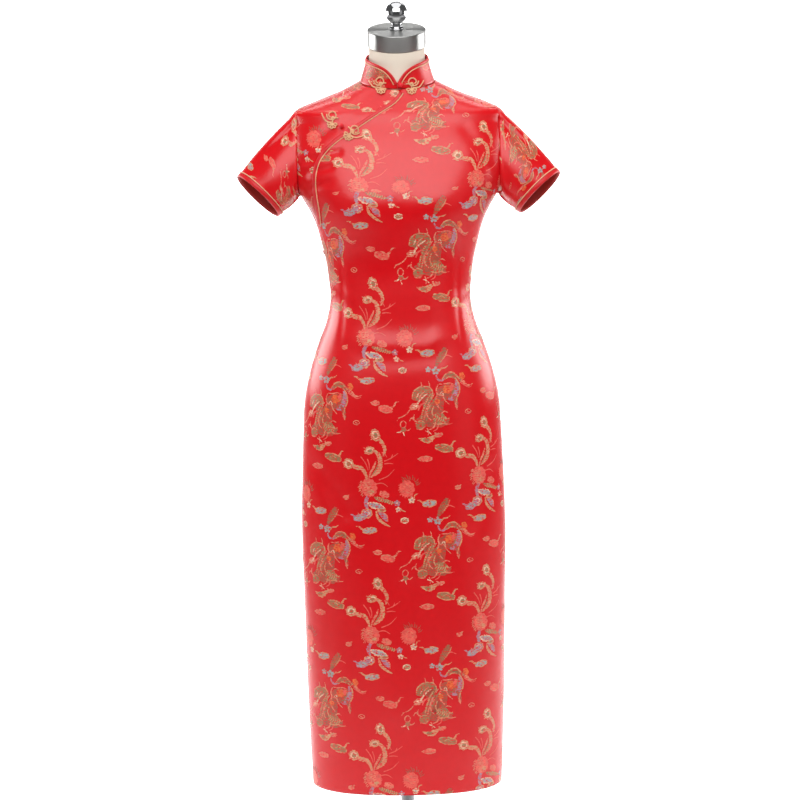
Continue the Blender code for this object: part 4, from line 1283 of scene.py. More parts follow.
        wing: list[Shape] = [
            line(I, (3, 12, 11, 4), (-3, -28), (7, -32), (18, -34), (27, -38)),
            line(S, (2, 7.6, 7, 2), (0, -29), (8, -32), (18, -34), (25, -37), layer=2),
            *self.bars(L, ((2, -30), (12, -33), (22, -36)), 5, 6, 3),
            Spot(G, (22, -41), 7.4, 4.4, 0.2, 1, 5, 0.2),
            Spot(O, (23, -41), 4.4, 2.2, 0.2, 2),
        ]
        head: list[Shape] = [
            line(L, (5, 7, 5), (-1, -14), (-6, -26), (-4, -38)),
            Spot(G, (-5, -47), 9.6, 8.6, 0.2, 1, 7, 0.14),
            Spot(L, (-5, -47), 7.2, 6.2, 0.2, 2, 5, 0.2),
            line(I, (1, 1.8, 1.6, 1), (-10, -45), (-4, -42), (0, -47), (-5, -51), layer=3),
            line(B, (2.6, 1.8, 0.7), (-13, -49), (-18, -50), (-21, -46)),
            line(L, (3, 8, 9, 2), (17, -45), (23, -49), (28, -55), (31, -61)),
            line(G, (1.4, 4.6, 5, 4, 0.8), (12, -42), (15, -54), (22, -62), (29, -67), (37, -71), layer=2),
            line(B, (0.8, 1.8, 0.8), (22, -44), (31, -50), (33, -62), layer=2),
        ]
        return [*tail, *bird, *wing, *head]

    def peony(self) -> list[Shape]:
        """A full peony with a ragged rim."""
        out: list[Shape] = [
            Spot(C, (-1, -1), 12.5, 14, 0.2, 1, 9, 0.14),
            *self.fringe(R, ((-8, 11), (2, 15), (12, 12), (16, 3)), 10, 8.0, 0.25),
            *self.fringe(C, ((9, -12), (0, -15), (-10, -12), (-13.5, -1), (-12, 8)), 10, 3.2, 0.3),
        ]
        for k in range(6):
            a = math.tau * k / 6 + 0.3
            petal = ((4.0, 0.0), (7.6, 0.35), (6.8, 0.85))
            through = tuple((r * math.cos(a + t) - 1, 1.1 * r * math.sin(a + t) - 1) for r, t in petal)
            out.append(self.line(B, (0.3, 0.9, 0.3), *through, layer=2))
        return out

    def cell(self) -> list[Shape]:
        """One repeat, about the dragon's middle."""
        loose: list[Shape] = [
            *self.floret(I, S, -43, 96, 13),
            self.line(G, (1.4, 1.8, 0.6), (-39, 100), (-36, 106), (-31, 107)),
            *self.floret(L, I, -69, 91, 12),
            *self.floret(I, L, -67, 79, 11),
            self.line(G, (2, 2, 0.6), (-64, 80), (-59, 77), (-54, 75)),
            *self.cloud(S, G, (-11, 89), (25, 13), (-22, 6), 0.1),
            *self.cloud(O, I, (-56, 59), (14, 10.5), (7, 3)),
            *self.cloud(S, L, (66, 80), (22, 12), (-17, 5), 0.2),
            *self.cloud(O, G, (17, -82), (33, 14), (22, 12), -0.2),
            *self.cloud(C, B, (-17, -100), (23, 10), (-15, 0)),
            *self.cloud(C, B, (-87, -10), (25, 13), (24, 13), -0.2),
            *self.cloud(C, B, (-105, 1), (14, 9), (-9, 1)),
            *self.cloud(S, G, (-119, 41), (26, 12), (-25, 7), 0.1),
            *self.cloud(C, B, (-195, -74), (13, 7), (-9, 4), 0.3),
            *self.cloud(C, B, (41, 116), (11, 8), (7, 5)),
        ]
        x, y = 63, -18
        ring = tuple((x + 6 * math.cos(a), y + 3.6 * math.sin(a)) for a in np.arange(0, 6.2, 1.05))
        loose.append(Stroke(B, ring, (1.4, 1.6), 1, True))
        loose.append(self.line(B, (1.2, 1.6, 0.6), (x - 2, y + 1), (x, y - 1), (x + 3, y - 1)))
        return [
            *self.dragon(),
            *self.moved(self.phoenix(), -119, 119),
            *self.moved(self.peony(), -50, 118),
            *loose,
        ]


@dataclass
class Brocade:
    """The woven pattern, repeated over flat cloth."""

    width: float = 0.203
    length: float = 0.270
    climb: float = 0.016  # how much higher each repeat to the right starts
    lift: float = 0.13 * MM  # how far the floats stand off the ground
    layer: float = 0.045 * MM
    points: Array = field(init=False)
    heights: Array = field(init=False)
    faces: Array = field(init=False)
    looks: Array = field(init=False)

    def __post_init__(self) -> None:
        """Draws one repeat."""
        wefts = list(Weft)
        points, heights, faces, looks = [], [], [], []
        count = 0
        for shape in Motifs().cell():
            these, quads = shape.shape()
            points.append(these * MM)
            heights.append(np.full(len(these), self.lift + self.layer * shape.layer))
            faces.append(quads + count)
            looks.append(np.full(len(quads), wefts.index(shape.weft)))
            count += len(these)
        self.points, self.heights = np.concatenate(points), np.concatenate(heights)
        self.faces, self.looks = np.concatenate(faces), np.concatenate(looks)

    def over(self, low: Pair, high: Pair, origin: Pair) -> tuple[Array, Array, Array, Array]:
        """The pattern over a rectangle of flat cloth.

        Args:
            low: The rectangle's lower left corner.
            high: Its upper right corner.
            origin: Where a dragon's middle falls.

        Returns:
            Places on the flat cloth, heights off it, faces, and each face's weft.
        """
        margin = 0.26
        first = [math.floor((low[k] - margin - origin[k]) / (self.width, self.length)[k]) for k in (0, 1)]
        last = [math.ceil((high[k] + margin - origin[k]) / (self.width, self.length)[k]) for k in (0, 1)]
        points, faces, looks, heights = [], [], [], []
        count = 0
        for i in range(first[0], last[0] + 1):
            for j in range(first[1], last[1] + 1):
                step = np.array([i * self.width, j * self.length + i * self.climb])
                moved = self.points + np.array(origin) + step
                inside = ((moved > np.array(low) - 0.004) & (moved < np.array(high) + 0.004)).all(axis=1)
                keep = inside[self.faces].any(axis=1)
                if not keep.any():
                    continue
                used, index = np.unique(self.faces[keep], return_inverse=True)
                points.append(moved[used])
                heights.append(self.heights[used])
                faces.append(index.reshape(-1, 4) + count)
                looks.append(self.looks[keep])
                count += len(used)
        return (np.concatenate(points), np.concatenate(heights), np.concatenate(faces), np.concatenate(looks))


# ---- pieces of cloth


@dataclass
class Tailor:
    """What every piece of the garment is made with."""

    surface: BodySurface
    flap: FlapEdge
    brocade: Brocade
    palette: Palette
    seam_gap: float = 0.06 * MM  # all but closed, as sewn
    bias_cut: float = 0.012  # how wide the binding's strips are cut

    def cloth(
        self, name: str, node: str, points: Array, faces: Array, weave: Array,
        inside: Satin = REVERSE, wall: float = 1.2 * MM,
    ) -> Object:
        """A piece of brocade.

        Args:
            name: The object's name.
            node: The CAD node that it replaces.
            points: Its outer face's points.
            faces: Their quads.
            weave: The points' places on the flat cloth.
            inside: What it shows inside.
            wall: Its thickness.

        Returns:
            The piece.
        """
        looks = [self.palette.of(GROUND), self.palette.of(inside)]
        made = mesh_object(name, points, faces, looks, weave)
        return finish_piece(thicken(made, wall, inner=1), Slot.BROCADE, node)

    def motif(self, name: str, points: Array, faces: Array, weave: Array, looks: Array) -> Object:
        """The pattern wefts of one piece, with the faces' wefts in looks."""
        made = mesh_object(name, points, faces, self.palette.wefts(), weave, looks)
        return finish_piece(made, Slot.BROCADE)

    def bind(self, name: str, node: str, lanes: Sequence[Array], closed: bool = False) -> Object:
        """A bias strip folded over an edge.

        Args:
            name: The object's name.
            node: The CAD node that it replaces.
            lanes: A path for each point of the strip's section.
            closed: Whether the edge runs round to its start.

        Returns:
            The binding.
        """
        rows = np.stack(lanes, axis=1)
        cut = np.linspace(0, self.bias_cut, len(lanes))
        weave = np.stack(np.meshgrid(along(rows.mean(axis=1)), cut, indexing="ij"), axis=-1)
        made = mesh_object(
            name, rows.reshape(-1, 3), tube_faces(rows, closed), [self.palette.of(BIAS)],
            weave.reshape(-1, 2),
        )
        return finish_piece(made, Slot.BINDING, node)

    def pipe(self, name: str, node: str, path: Array, out: Array, closed: bool = False) -> Object:
        """The thin twisted cord sewn beside a binding, along a path with its outward directions."""
        cord = TwistedCord(PIPE_RADIUS, pitch=2.6 * MM, sides=5, step=0.65 * MM)
        made = cord.build(name, [(path, out, closed)], self.palette.of(PIPING))
        return finish_piece(made, Slot.GOLD_CORD, node)


@dataclass
class FlatMap:
    """Carries places between the flat cloth and one side of the body."""

    surface: BodySurface
    facing: Facing
    anchor_z: float = 0.862
    measured_share: float = 0.4
    lengths: Array = field(init=False)

    def __post_init__(self) -> None:
        """Measures the cloth's length up one column."""
        heights = self.surface.heights
        column = self.surface.place(heights, np.full_like(heights, self.measured_share), self.facing)
        run = along(column)
        self.lengths = run - np.interp(self.anchor_z, heights, run) + self.anchor_z

    def to_flat(self, z: Array, share: Array) -> Array:
        """Places on the flat cloth, (across, up)."""
        up = np.interp(z, self.surface.heights, self.lengths)
        return np.stack([share * self.surface.reach(z, self.facing), up], axis=-1)

    def to_body(self, flat: Array) -> tuple[Array, Array, Array]:
        """Carries flat places to the body, moving those that are off the piece back onto it.

        Args:
            flat: Places on the flat cloth, (across, up).

        Returns:
            Side heights, shares, and whether each place was off the piece.
        """
        z = np.interp(flat[:, 1], self.lengths, self.surface.heights)
        share = flat[:, 0] / self.surface.reach(z, self.facing)
        off = (np.abs(share) > 1) | (flat[:, 1] < self.lengths[0]) | (flat[:, 1] > self.lengths[-1])
        share = np.clip(share, -1, 1)
        foot = np.full_like(z, self.surface.hem_z)
        lowest = self.surface.hem_z + self.surface.hem_lift(foot, share, self.facing)
        return np.maximum(z, lowest), share, off | (z < lowest)


@dataclass
class BodyPanel:
    """The front, the back or the underlap."""

    tailor: Tailor
    facing: Facing
    name: str
    pattern_origin: Pair
    cell: float = 4.6 * MM
    shoulder_cell: float = 1.5 * MM
    shoulder_z: float = 1.362
    foot_z: float = 0.140
    drawn_z: Pair = (1.05, 1.20)  # where up the cloth the next two start and are full
    drawn_up: float = 9.0 * MM  # how far the bust's darts draw the pattern up
    drawn_out: float = 0.0035  # and outwards

    def heights(self) -> Array:
        """Side heights of the rows, closer together where the shoulders turn over."""
        top = self.tailor.surface.neckline_z
        low = np.arange(self.foot_z, self.shoulder_z, self.cell)
        count = round((top - self.shoulder_z) / self.shoulder_cell) + 1
        return np.concatenate([low, np.linspace(self.shoulder_z, top, count)])

    def shares(self) -> Array:
        """Shares of the columns, closer together at the edges."""
        inner = np.linspace(0, 0.965, 46)
        half = np.concatenate([inner, [0.975, 0.985, 0.993, 1.0]])
        return np.concatenate([-half[:0:-1], half])

    def lay_out(self) -> tuple[Grid, Array]:
        """The whole panel before the flap's edge is cut, and its places on the flat cloth."""
        z, share = np.meshgrid(self.heights(), self.shares(), indexing="ij")
        z = z + self.tailor.surface.hem_lift(z, share, self.facing)
        grid = Grid(self.tailor.surface.place(z, share, self.facing))
        weave = FlatMap(self.tailor.surface, self.facing).to_flat(z, share)
        return grid, weave.reshape(-1, 2)

    def woven(self, name: str, low_past: float, high_past: float, sink: bool = False) -> Object:
        """The pattern on the panel, kept between two distances past the flap's edge.

        Args:
            name: The object's name.
            low_past: The least distance past the edge, or minus infinity.
            high_past: The greatest.
            sink: Whether the pattern sinks with the underlap.

        Returns:
            The pattern's object.
        """
        surface = self.tailor.surface
        flat_map = FlatMap(surface, self.facing)
        widest = float(surface.reaches[self.facing].max())
        low = (-widest, float(np.interp(self.foot_z, surface.heights, flat_map.lengths)))
        high = (widest, float(flat_map.lengths[-1]))
        flat, heights, faces, looks = self.tailor.brocade.over(low, high, self.pattern_origin)
        drawn = flat.copy()
        if self.facing is FRONT and not sink:
            chest = smoothstep(*self.drawn_z, flat[:, 1])
            drawn[:, 0] -= self.drawn_out * chest * np.clip(1 - flat[:, 0] / 0.05, 0, 2.4)
            drawn[:, 1] += self.drawn_up * chest * np.clip(1 - flat[:, 0] / 0.20, 0.7, 1.4)
        z, share, off = flat_map.to_body(drawn)
        points, out = surface.framed(z, share, self.facing)
        keep = ~off[faces].all(axis=1)
        if self.facing is FRONT:
            past, _ = self.tailor.flap.past(points[:, 0], points[:, 2])
            wrong = (past < low_past) | (past > high_past)
            keep &= ~wrong[faces].any(axis=1)
            if sink:
                points = points - out * UnderlapFit().depth(past)[:, None]
        points = points + out * heights[:, None]
        faces = turned_outward(points, faces, np.array([0, self.facing.value, 0]))
        return self.tailor.motif(name, points, faces[keep], flat, looks[keep])

    def pattern_area(self) -> Triple:
        """The flat cut's greatest width, its length, and its area without the flap's part."""
        surface = self.tailor.surface
        lengths = FlatMap(surface, self.facing).lengths
        reach = surface.reaches[self.facing]
        keep = surface.heights >= self.foot_z
        run, wide = lengths[keep], 2 * reach[keep]
        area = float(((wide[1:] + wide[:-1]) / 2 * np.diff(run)).sum())
        return float(wide.max()), float(run[-1] - run[0]), area


@dataclass(frozen=True)
class UnderlapFit:
    """How the underlap lies: under the flap near its edge, then level with the front."""

    sunk: float = 1.8 * MM
    full: float = 0.016
    flush: float = 0.036
    width: float = 0.022
    foot_z: float = 1.08

    def depth(self, past: Array) -> Array:
        """How deep the underlap lies at distances past the flap's edge."""
        return self.sunk * (1 - smoothstep(self.full, self.flush, past))


@dataclass
class BodyCloth:
    """The dress's front, underlap and back, and what trims are laid on."""

    tailor: Tailor
    front_origin: Pair = (0.0578, 0.862)
    back_origin: Pair = (-0.0330, 0.800)
    underlap_origin: Pair = (0.1020, 0.980)
    front_grid: Grid = field(init=False)
    skin: FrontSkin = field(init=False)

    def cut_at_flap(self, grid: Grid, faces: Array, limit: float, keep_past: bool) -> tuple[Grid, Array]:
        """Cuts a panel along a line beside the flap's edge, its border moved onto the line.

        Args:
            grid: The panel.
            faces: Its quads.
            limit: The line's distance past the edge.
            keep_past: Whether what is past the line stays.

        Returns:
            The panel with its border moved, and the faces that are left.
        """
        points = grid.flat().copy()
        past, near = self.tailor.flap.past(points[:, 0], points[:, 2])
        out = past < limit if keep_past else past > limit
        kept = faces[~out[faces].all(axis=1)]
        border = np.unique(kept[out[kept]])
        offset = points[border][:, [0, 2]] - near[border]
        target = near[border] + unit(offset) * np.sign(past[border])[:, None] * limit
        for index, (x, z) in zip(border, target):
            points[index] = self.skin.touch(float(x), float(z), 0.0)
        return Grid(points.reshape(grid.points.shape)), kept

    def build(self) -> None:
        """Makes the three panels with their patterns."""
        tailor = self.tailor
        front = BodyPanel(tailor, FRONT, "cheongsam_front", self.front_origin)
        self.front_grid, weave = front.lay_out()
        self.skin = FrontSkin([self.front_grid.tree()])
        toward = np.array([0, FRONT.value, 0])
        faces = turned_outward(self.front_grid.flat(), self.front_grid.faces(), toward)
        cut, kept = self.cut_at_flap(self.front_grid, faces, 0.0, keep_past=False)
        self.front = tailor.cloth(front.name, "front_panel", cut.flat(), kept, weave)
        self.front_motif = front.woven("weft_front", -math.inf, -1.2 * MM)
        self.front_size = front.pattern_area()

        fit = UnderlapFit()
        under = BodyPanel(tailor, FRONT, "cheongsam_underlap", self.underlap_origin, foot_z=fit.foot_z)
        grid, weave = under.lay_out()
        faces = turned_outward(grid.flat(), grid.faces(), toward)
        cut, kept = self.cut_at_flap(grid, faces, -fit.width, keep_past=True)
        points = cut.flat()
        past, _ = tailor.flap.past(points[:, 0], points[:, 2])
        sunk = points - self.point_normals(points, faces) * fit.depth(past)[:, None]
        self.underlap = tailor.cloth(under.name, "front_underlap", sunk, kept, weave)
        self.underlap_motif = under.woven("weft_underlap", -2.0 * MM, math.inf, sink=True)

        back = BodyPanel(tailor, BACK, "cheongsam_back", self.back_origin)
        grid, weave = back.lay_out()
        faces = turned_outward(grid.flat(), grid.faces(), -toward)
        self.back = tailor.cloth(back.name, "back_panel", grid.flat(), faces, weave)
        self.back_motif = back.woven("weft_back", -math.inf, math.inf)
        self.back_size = back.pattern_area()

    @staticmethod
    def point_normals(points: Array, faces: Array) -> Array:
        """Directions out of a mesh at its points.

        Args:
            points: The points.
            faces: The quads.

        Returns:
            One direction for each point.
        """
        a, b, c = (points[faces[:, i]] for i in (0, 1, 2))
        looks = np.cross(b - a, c - a)
        total = np.zeros_like(points)
        for i in range(4):
            np.add.at(total, faces[:, i], looks)
        return unit(total)


# ---- cords and strips


@dataclass
class TwistedCord:
    """A cord of twisted strands along one or more paths."""

    radius: float
    pitch: float = 3.0 * MM
    strands: int = 2
    sides: int = 6
    step: float = 0.5 * MM
    strand: float = 0.56  # a strand's radius, as a share of the cord's

    def lines(self, path: Array, out: Array, closed: bool) -> list[Array]:
        """Each strand's rings of points along a path.

        Args:
            path: Points of the cord's middle.
            out: A direction out of what the cord lies on, or one for each point.
            closed: Whether the path runs round to its start.

        Returns:
            For each strand, an array of rings of points.
        """
        out = np.broadcast_to(out, path.shape)
        if closed:
            path = np.concatenate([path, path[:1]])
            out = np.concatenate([out, out[:1]])
        run = along(path)
        count = max(6, round(run[-1] / self.step))
        at = np.linspace(0, run[-1], count + 1)
        middle, up = sampled(path, run, at), sampled(out, run, at)
        turns = max(1, round(run[-1] / self.pitch * 2)) / 2
        if closed:
            middle, up, at = middle[:-1], up[:-1], at[:-1]
            turns = max(1, round(turns))
        ahead = ahead_of(middle, closed)
        aside = unit(np.cross(ahead, up))
        up = np.cross(aside, ahead)
        strand_radius = self.radius * self.strand
        found = []
        for k in range(self.strands):
            turn = math.tau * (turns * at / run[-1] + k / self.strands)
            reach = self.radius - strand_radius
            centre = middle + reach * (np.cos(turn)[:, None] * aside + np.sin(turn)[:, None] * up)
            side = np.linspace(0, math.tau, self.sides, endpoint=False)
            ring = (np.cos(side)[None, :, None] * aside[:, None] + np.sin(side)[None, :, None] * up[:, None])
            found.append(centre[:, None] + ring * strand_radius)
        return found

    def build(self, name: str, paths: Sequence[tuple[Array, Array, bool]], material: Material) -> Object:
        """Makes one object of all the paths' strands.

        Args:
            name: The object's name.
            paths: For each cord, its path, its outward directions, and whether it is closed.
            material: What it is made of.

        Returns:
            The object.
        """
        points, faces, count = [], [], 0
        for path, out, closed in paths:
            for rows in self.lines(path, out, closed):
                faces += tube_faces(rows, closed, count)
                points.append(rows.reshape(-1, 3))
                count += len(points[-1])
        return mesh_object(name, np.concatenate(points), faces, [material])


PIPE_RADIUS = 1.05 * MM
FROG_CORD_RADIUS = 1.35 * MM
PIPE_GAP = 0.3 * MM  # to the binding beside it
EDGE_BINDING_WIDTH = 5.0 * MM

# Across a bias strip from the cut edge inwards: (distance, height), with its underside.
BINDING_SECTION = (
    (-0.9, -0.5), (-1.0, 0.3), (-0.6, 1.0), (0.4, 1.35), (1.6, 1.45), (3.0, 1.40), (4.2, 1.15),
    (4.9, 0.75), (5.0, 0.30), (3.0, 0.22), (0.5, 0.20),
)


@dataclass
class FlapTrim:
    """The binding along the front overlap's edge, and the piping beside it."""

    tailor: Tailor
    cloth: BodyCloth
    top_z: float = 1.4125
    side_gap: float = 4.2 * MM

    def edge(self) -> Array:
        """The trimmed length of the flap's edge."""
        path = smooth_path(self.tailor.flap.through, 2.5 * MM)
        wide = self.tailor.surface.rows(path[:, 1])[:, 1]
        return path[(path[:, 1] < self.top_z) & (-path[:, 0] < wide - self.side_gap)]

    def build(self) -> None:
        """Makes the binding and the piping, and the ramp that frogs are laid over."""
        edge, skin = self.edge(), self.cloth.skin
        lanes = [skin.lay(left_of(edge, d * MM), h * MM) for d, h in BINDING_SECTION]
        self.binding = self.tailor.bind("bias_flap", "flap_binding", lanes)
        lane = EDGE_BINDING_WIDTH + PIPE_GAP + PIPE_RADIUS
        path = skin.lay(left_of(edge, lane), PIPE_RADIUS + 0.2 * MM)
        self.piping = self.tailor.pipe("piping_flap", "flap_piping", path, np.array([0.0, -1.0, 0.0]))
        over = 2 * PIPE_RADIUS + 0.2 * MM
        saddle = ((-6.0 * MM, 0.0), (-1.2 * MM, over), (lane + PIPE_RADIUS, over), (lane + 6 * MM, 0.0))
        self.ramp = Grid(np.stack([skin.lay(left_of(edge, d), h) for d, h in saddle]))


# ---- sleeves


@dataclass
class Sleeve:
    """A short set-in sleeve with a bound and piped cuff."""

    tailor: Tailor
    side: Side
    around: int = 112
    stations: int = 34
    bulge: float = 4.0 * MM
    kick: float = 2.2 * MM  # how far it stands off beside the armhole's seam
    loop_z: Pair = (1.2302, 1.385)
    cuff_outer_top: Triple = (0.2905, 0, 1.2660)
    cuff_inner_bottom: Triple = (0.2185, 0, 1.1960)
    cuff_half_depth: float = 0.045
    cuff_turn: float = math.radians(-13)
    cuff_centre_y: float = -0.010
    binding_width: float = 7.5 * MM
    bare: float = 3.0 * MM  # of pattern, under the binding
    # (share of the way round from the top, share of the way down, across, along, height)
    folds: tuple[tuple[float, float, float, float, float], ...] = (
        (0.30, 0.30, 0.035, 0.40, -0.0022),
        (0.38, 0.20, 0.030, 0.30, 0.0020),
        (0.14, 0.62, 0.050, 0.50, -0.0012),
        (0.70, 0.25, 0.035, 0.35, -0.0022),
        (0.62, 0.22, 0.030, 0.30, 0.0018),
        (0.88, 0.55, 0.050, 0.50, 0.0014),
    )

    def armhole(self) -> Array:
        """Points round the armhole, from the shoulder down the front and up the back."""
        z = np.linspace(*self.loop_z, 60)
        edge = np.full_like(z, float(self.side.value))
        front = self.tailor.surface.place(z, edge, FRONT)[::-1]
        back = self.tailor.surface.place(z, edge, BACK)
        loop = np.concatenate([front, back, front[:1]])
        run = along(loop)
        return sampled(loop, run, np.linspace(0, run[-1], self.around, endpoint=False))

    def cuff(self) -> Array:
        """Points round the cuff's edge, from its outer top."""
        top, bottom = Vector(self.cuff_outer_top), Vector(self.cuff_inner_bottom)
        tall, middle = (top - bottom) / 2, (top + bottom) / 2 + Vector((0, self.cuff_centre_y, 0))
        forward = Matrix.Rotation(self.cuff_turn, 3, tall.normalized()) @ Vector((0, -1, 0))
        angle = np.linspace(0, math.tau, self.around, endpoint=False)[:, None]
        ring = (
            np.array(middle)
            + np.array(tall) * np.cos(angle)
            + np.array(forward) * self.cuff_half_depth * np.sin(angle)
        )
        ring[:, 0] *= self.side.value
        return ring

    def rows(self) -> Array:
        """The sleeve's grid from the armhole to the cuff."""
        start = self.armhole() + np.array([self.side.value * self.tailor.seam_gap, 0, 0])
        end = self.cuff()
        share = np.linspace(0, 1, self.stations)[:, None, None]
        straight = start * (1 - share) + end * share
        away = unit(straight - straight.mean(axis=1, keepdims=True))
        kick = smoothstep(0, 0.03, share) * (1 - smoothstep(0.03, 0.14, share))
        turn = np.linspace(0, 1, self.around, endpoint=False)[None, :]
        lift = np.zeros((self.stations, self.around))
        for at_turn, at_share, across, down, height in self.folds:
            aside = np.abs(turn - at_turn - 0.10 * (share[..., 0] - at_share))
            aside = np.minimum(aside, 1 - aside)
            lift += height * np.exp(-((aside / across) ** 2) - ((share[..., 0] - at_share) / down) ** 2)
        lift *= smoothstep(0, 0.12, share[..., 0]) * (1 - smoothstep(0.80, 1.0, share[..., 0]))
        straight = straight + away * (self.bulge * np.sin(math.pi * share) + lift[..., None])
        return straight + np.array([self.side.value, 0, 0]) * kick * self.kick

    def build(self) -> None:
        """Makes the sleeve, its pattern, binding and piping."""
        name = self.side.name.lower()
        rows = self.rows()
        grid = Grid(rows, ring=True)
        flat = grid.flat()
        faces = grid.faces()
        middles = rows.mean(axis=1)
        outward = flat[faces[:, 0]] - middles[faces[:, 0] // self.around]
        faces = turned_outward(flat, faces, outward)
        deep = along(rows[:, self.around // 4])
        wide = along(np.concatenate([rows[self.stations // 2], rows[self.stations // 2, :1]]))
        weave = np.stack(np.meshgrid(deep, wide[:-1], indexing="ij")[::-1], axis=-1).reshape(-1, 2)
        self.cloth = self.tailor.cloth("sleeve_cloth_" + name, "sleeve_" + name, flat, faces, weave)
        shifted = np.roll(rows, self.around // 2, axis=1)  # the sleeve's top in the middle
        self.motif = self.woven("weft_sleeve_" + name, shifted)
        normals = BodyCloth.point_normals(flat, faces)[-self.around :]
        edge, above = rows[-1], rows[-4]
        inward = unit(above - edge)

        def lane(distance: float, height: float) -> Array:
            """A ring beside the cuff's edge."""
            return edge + inward * distance + normals * height

        scale = self.binding_width / EDGE_BINDING_WIDTH
        lanes = [lane(d * scale * MM if d > 0 else d * MM, h * MM) for d, h in BINDING_SECTION]
        self.binding = self.tailor.bind("bias_cuff_" + name, "cuff_binding_" + name, lanes, True)
        path = lane(self.binding_width + PIPE_GAP + PIPE_RADIUS, PIPE_GAP + PIPE_RADIUS)
        self.piping = self.tailor.pipe("piping_cuff_" + name, "cuff_piping_" + name, path, normals, True)
        self.size = (float(wide[-1]), float(deep[-1]))

    def woven(self, name: str, rows: Array) -> Object:
        """The pattern, laid by distance round the sleeve and down it.

        Args:
            name: The object's name.
            rows: The sleeve's grid, with its top in the middle column.

        Returns:
            The pattern's object.
        """
        rows = np.concatenate([rows, rows[:, :1]], axis=1)
        count, wide = rows.shape[:2]
        across, down = along(rows[count // 2]), along(rows[:, wide // 2])
        across -= across[-1] / 2
        low, high = np.array([across[0], 0.0]), np.array([across[-1], down[-1] - self.bare])
        origin = (0.055 * self.side.value, 0.075)
        flat, heights, faces, looks = self.tailor.brocade.over(low, high, origin)
        off = ((flat < low - 1e-9) | (flat > high + 1e-9)).any(axis=1)
        held = np.clip(flat, low, high)
        column = np.interp(held[:, 0], across, np.arange(wide))
        row = np.interp(held[:, 1], down, np.arange(count))
        up, round_it = np.gradient(rows, axis=0), np.gradient(rows, axis=1)
        round_it[:, 0] = round_it[:, -1] = rows[:, 1] - rows[:, -2]
        normals = unit(np.cross(round_it, up))
        if (normals * (rows - rows.reshape(-1, 3).mean(axis=0))).sum() < 0:
            normals = -normals
        out = unit(between(normals, row, column))
        points = between(rows, row, column) + out * heights[:, None]
        faces = turned_outward(points, faces, out[faces[:, 0]])
        keep = ~off[faces].all(axis=1)
        return self.tailor.motif(name, points, faces[keep], flat, looks[keep])


# ---- collar


@dataclass(frozen=True)
class NeckRing:
    """One tilted ring round the neck."""

    side_z: float
    half_width: float
    half_depth: float
    centre_y: float
    tilt: float

    def place(self, angle: Array) -> Array:
        """Points at angles from the centre front toward the wearer's left."""
        y = self.centre_y - self.half_depth * np.cos(angle)
        z = self.side_z + self.tilt * (y - self.centre_y)
        return np.stack([self.half_width * np.sin(angle), y, z], axis=-1)


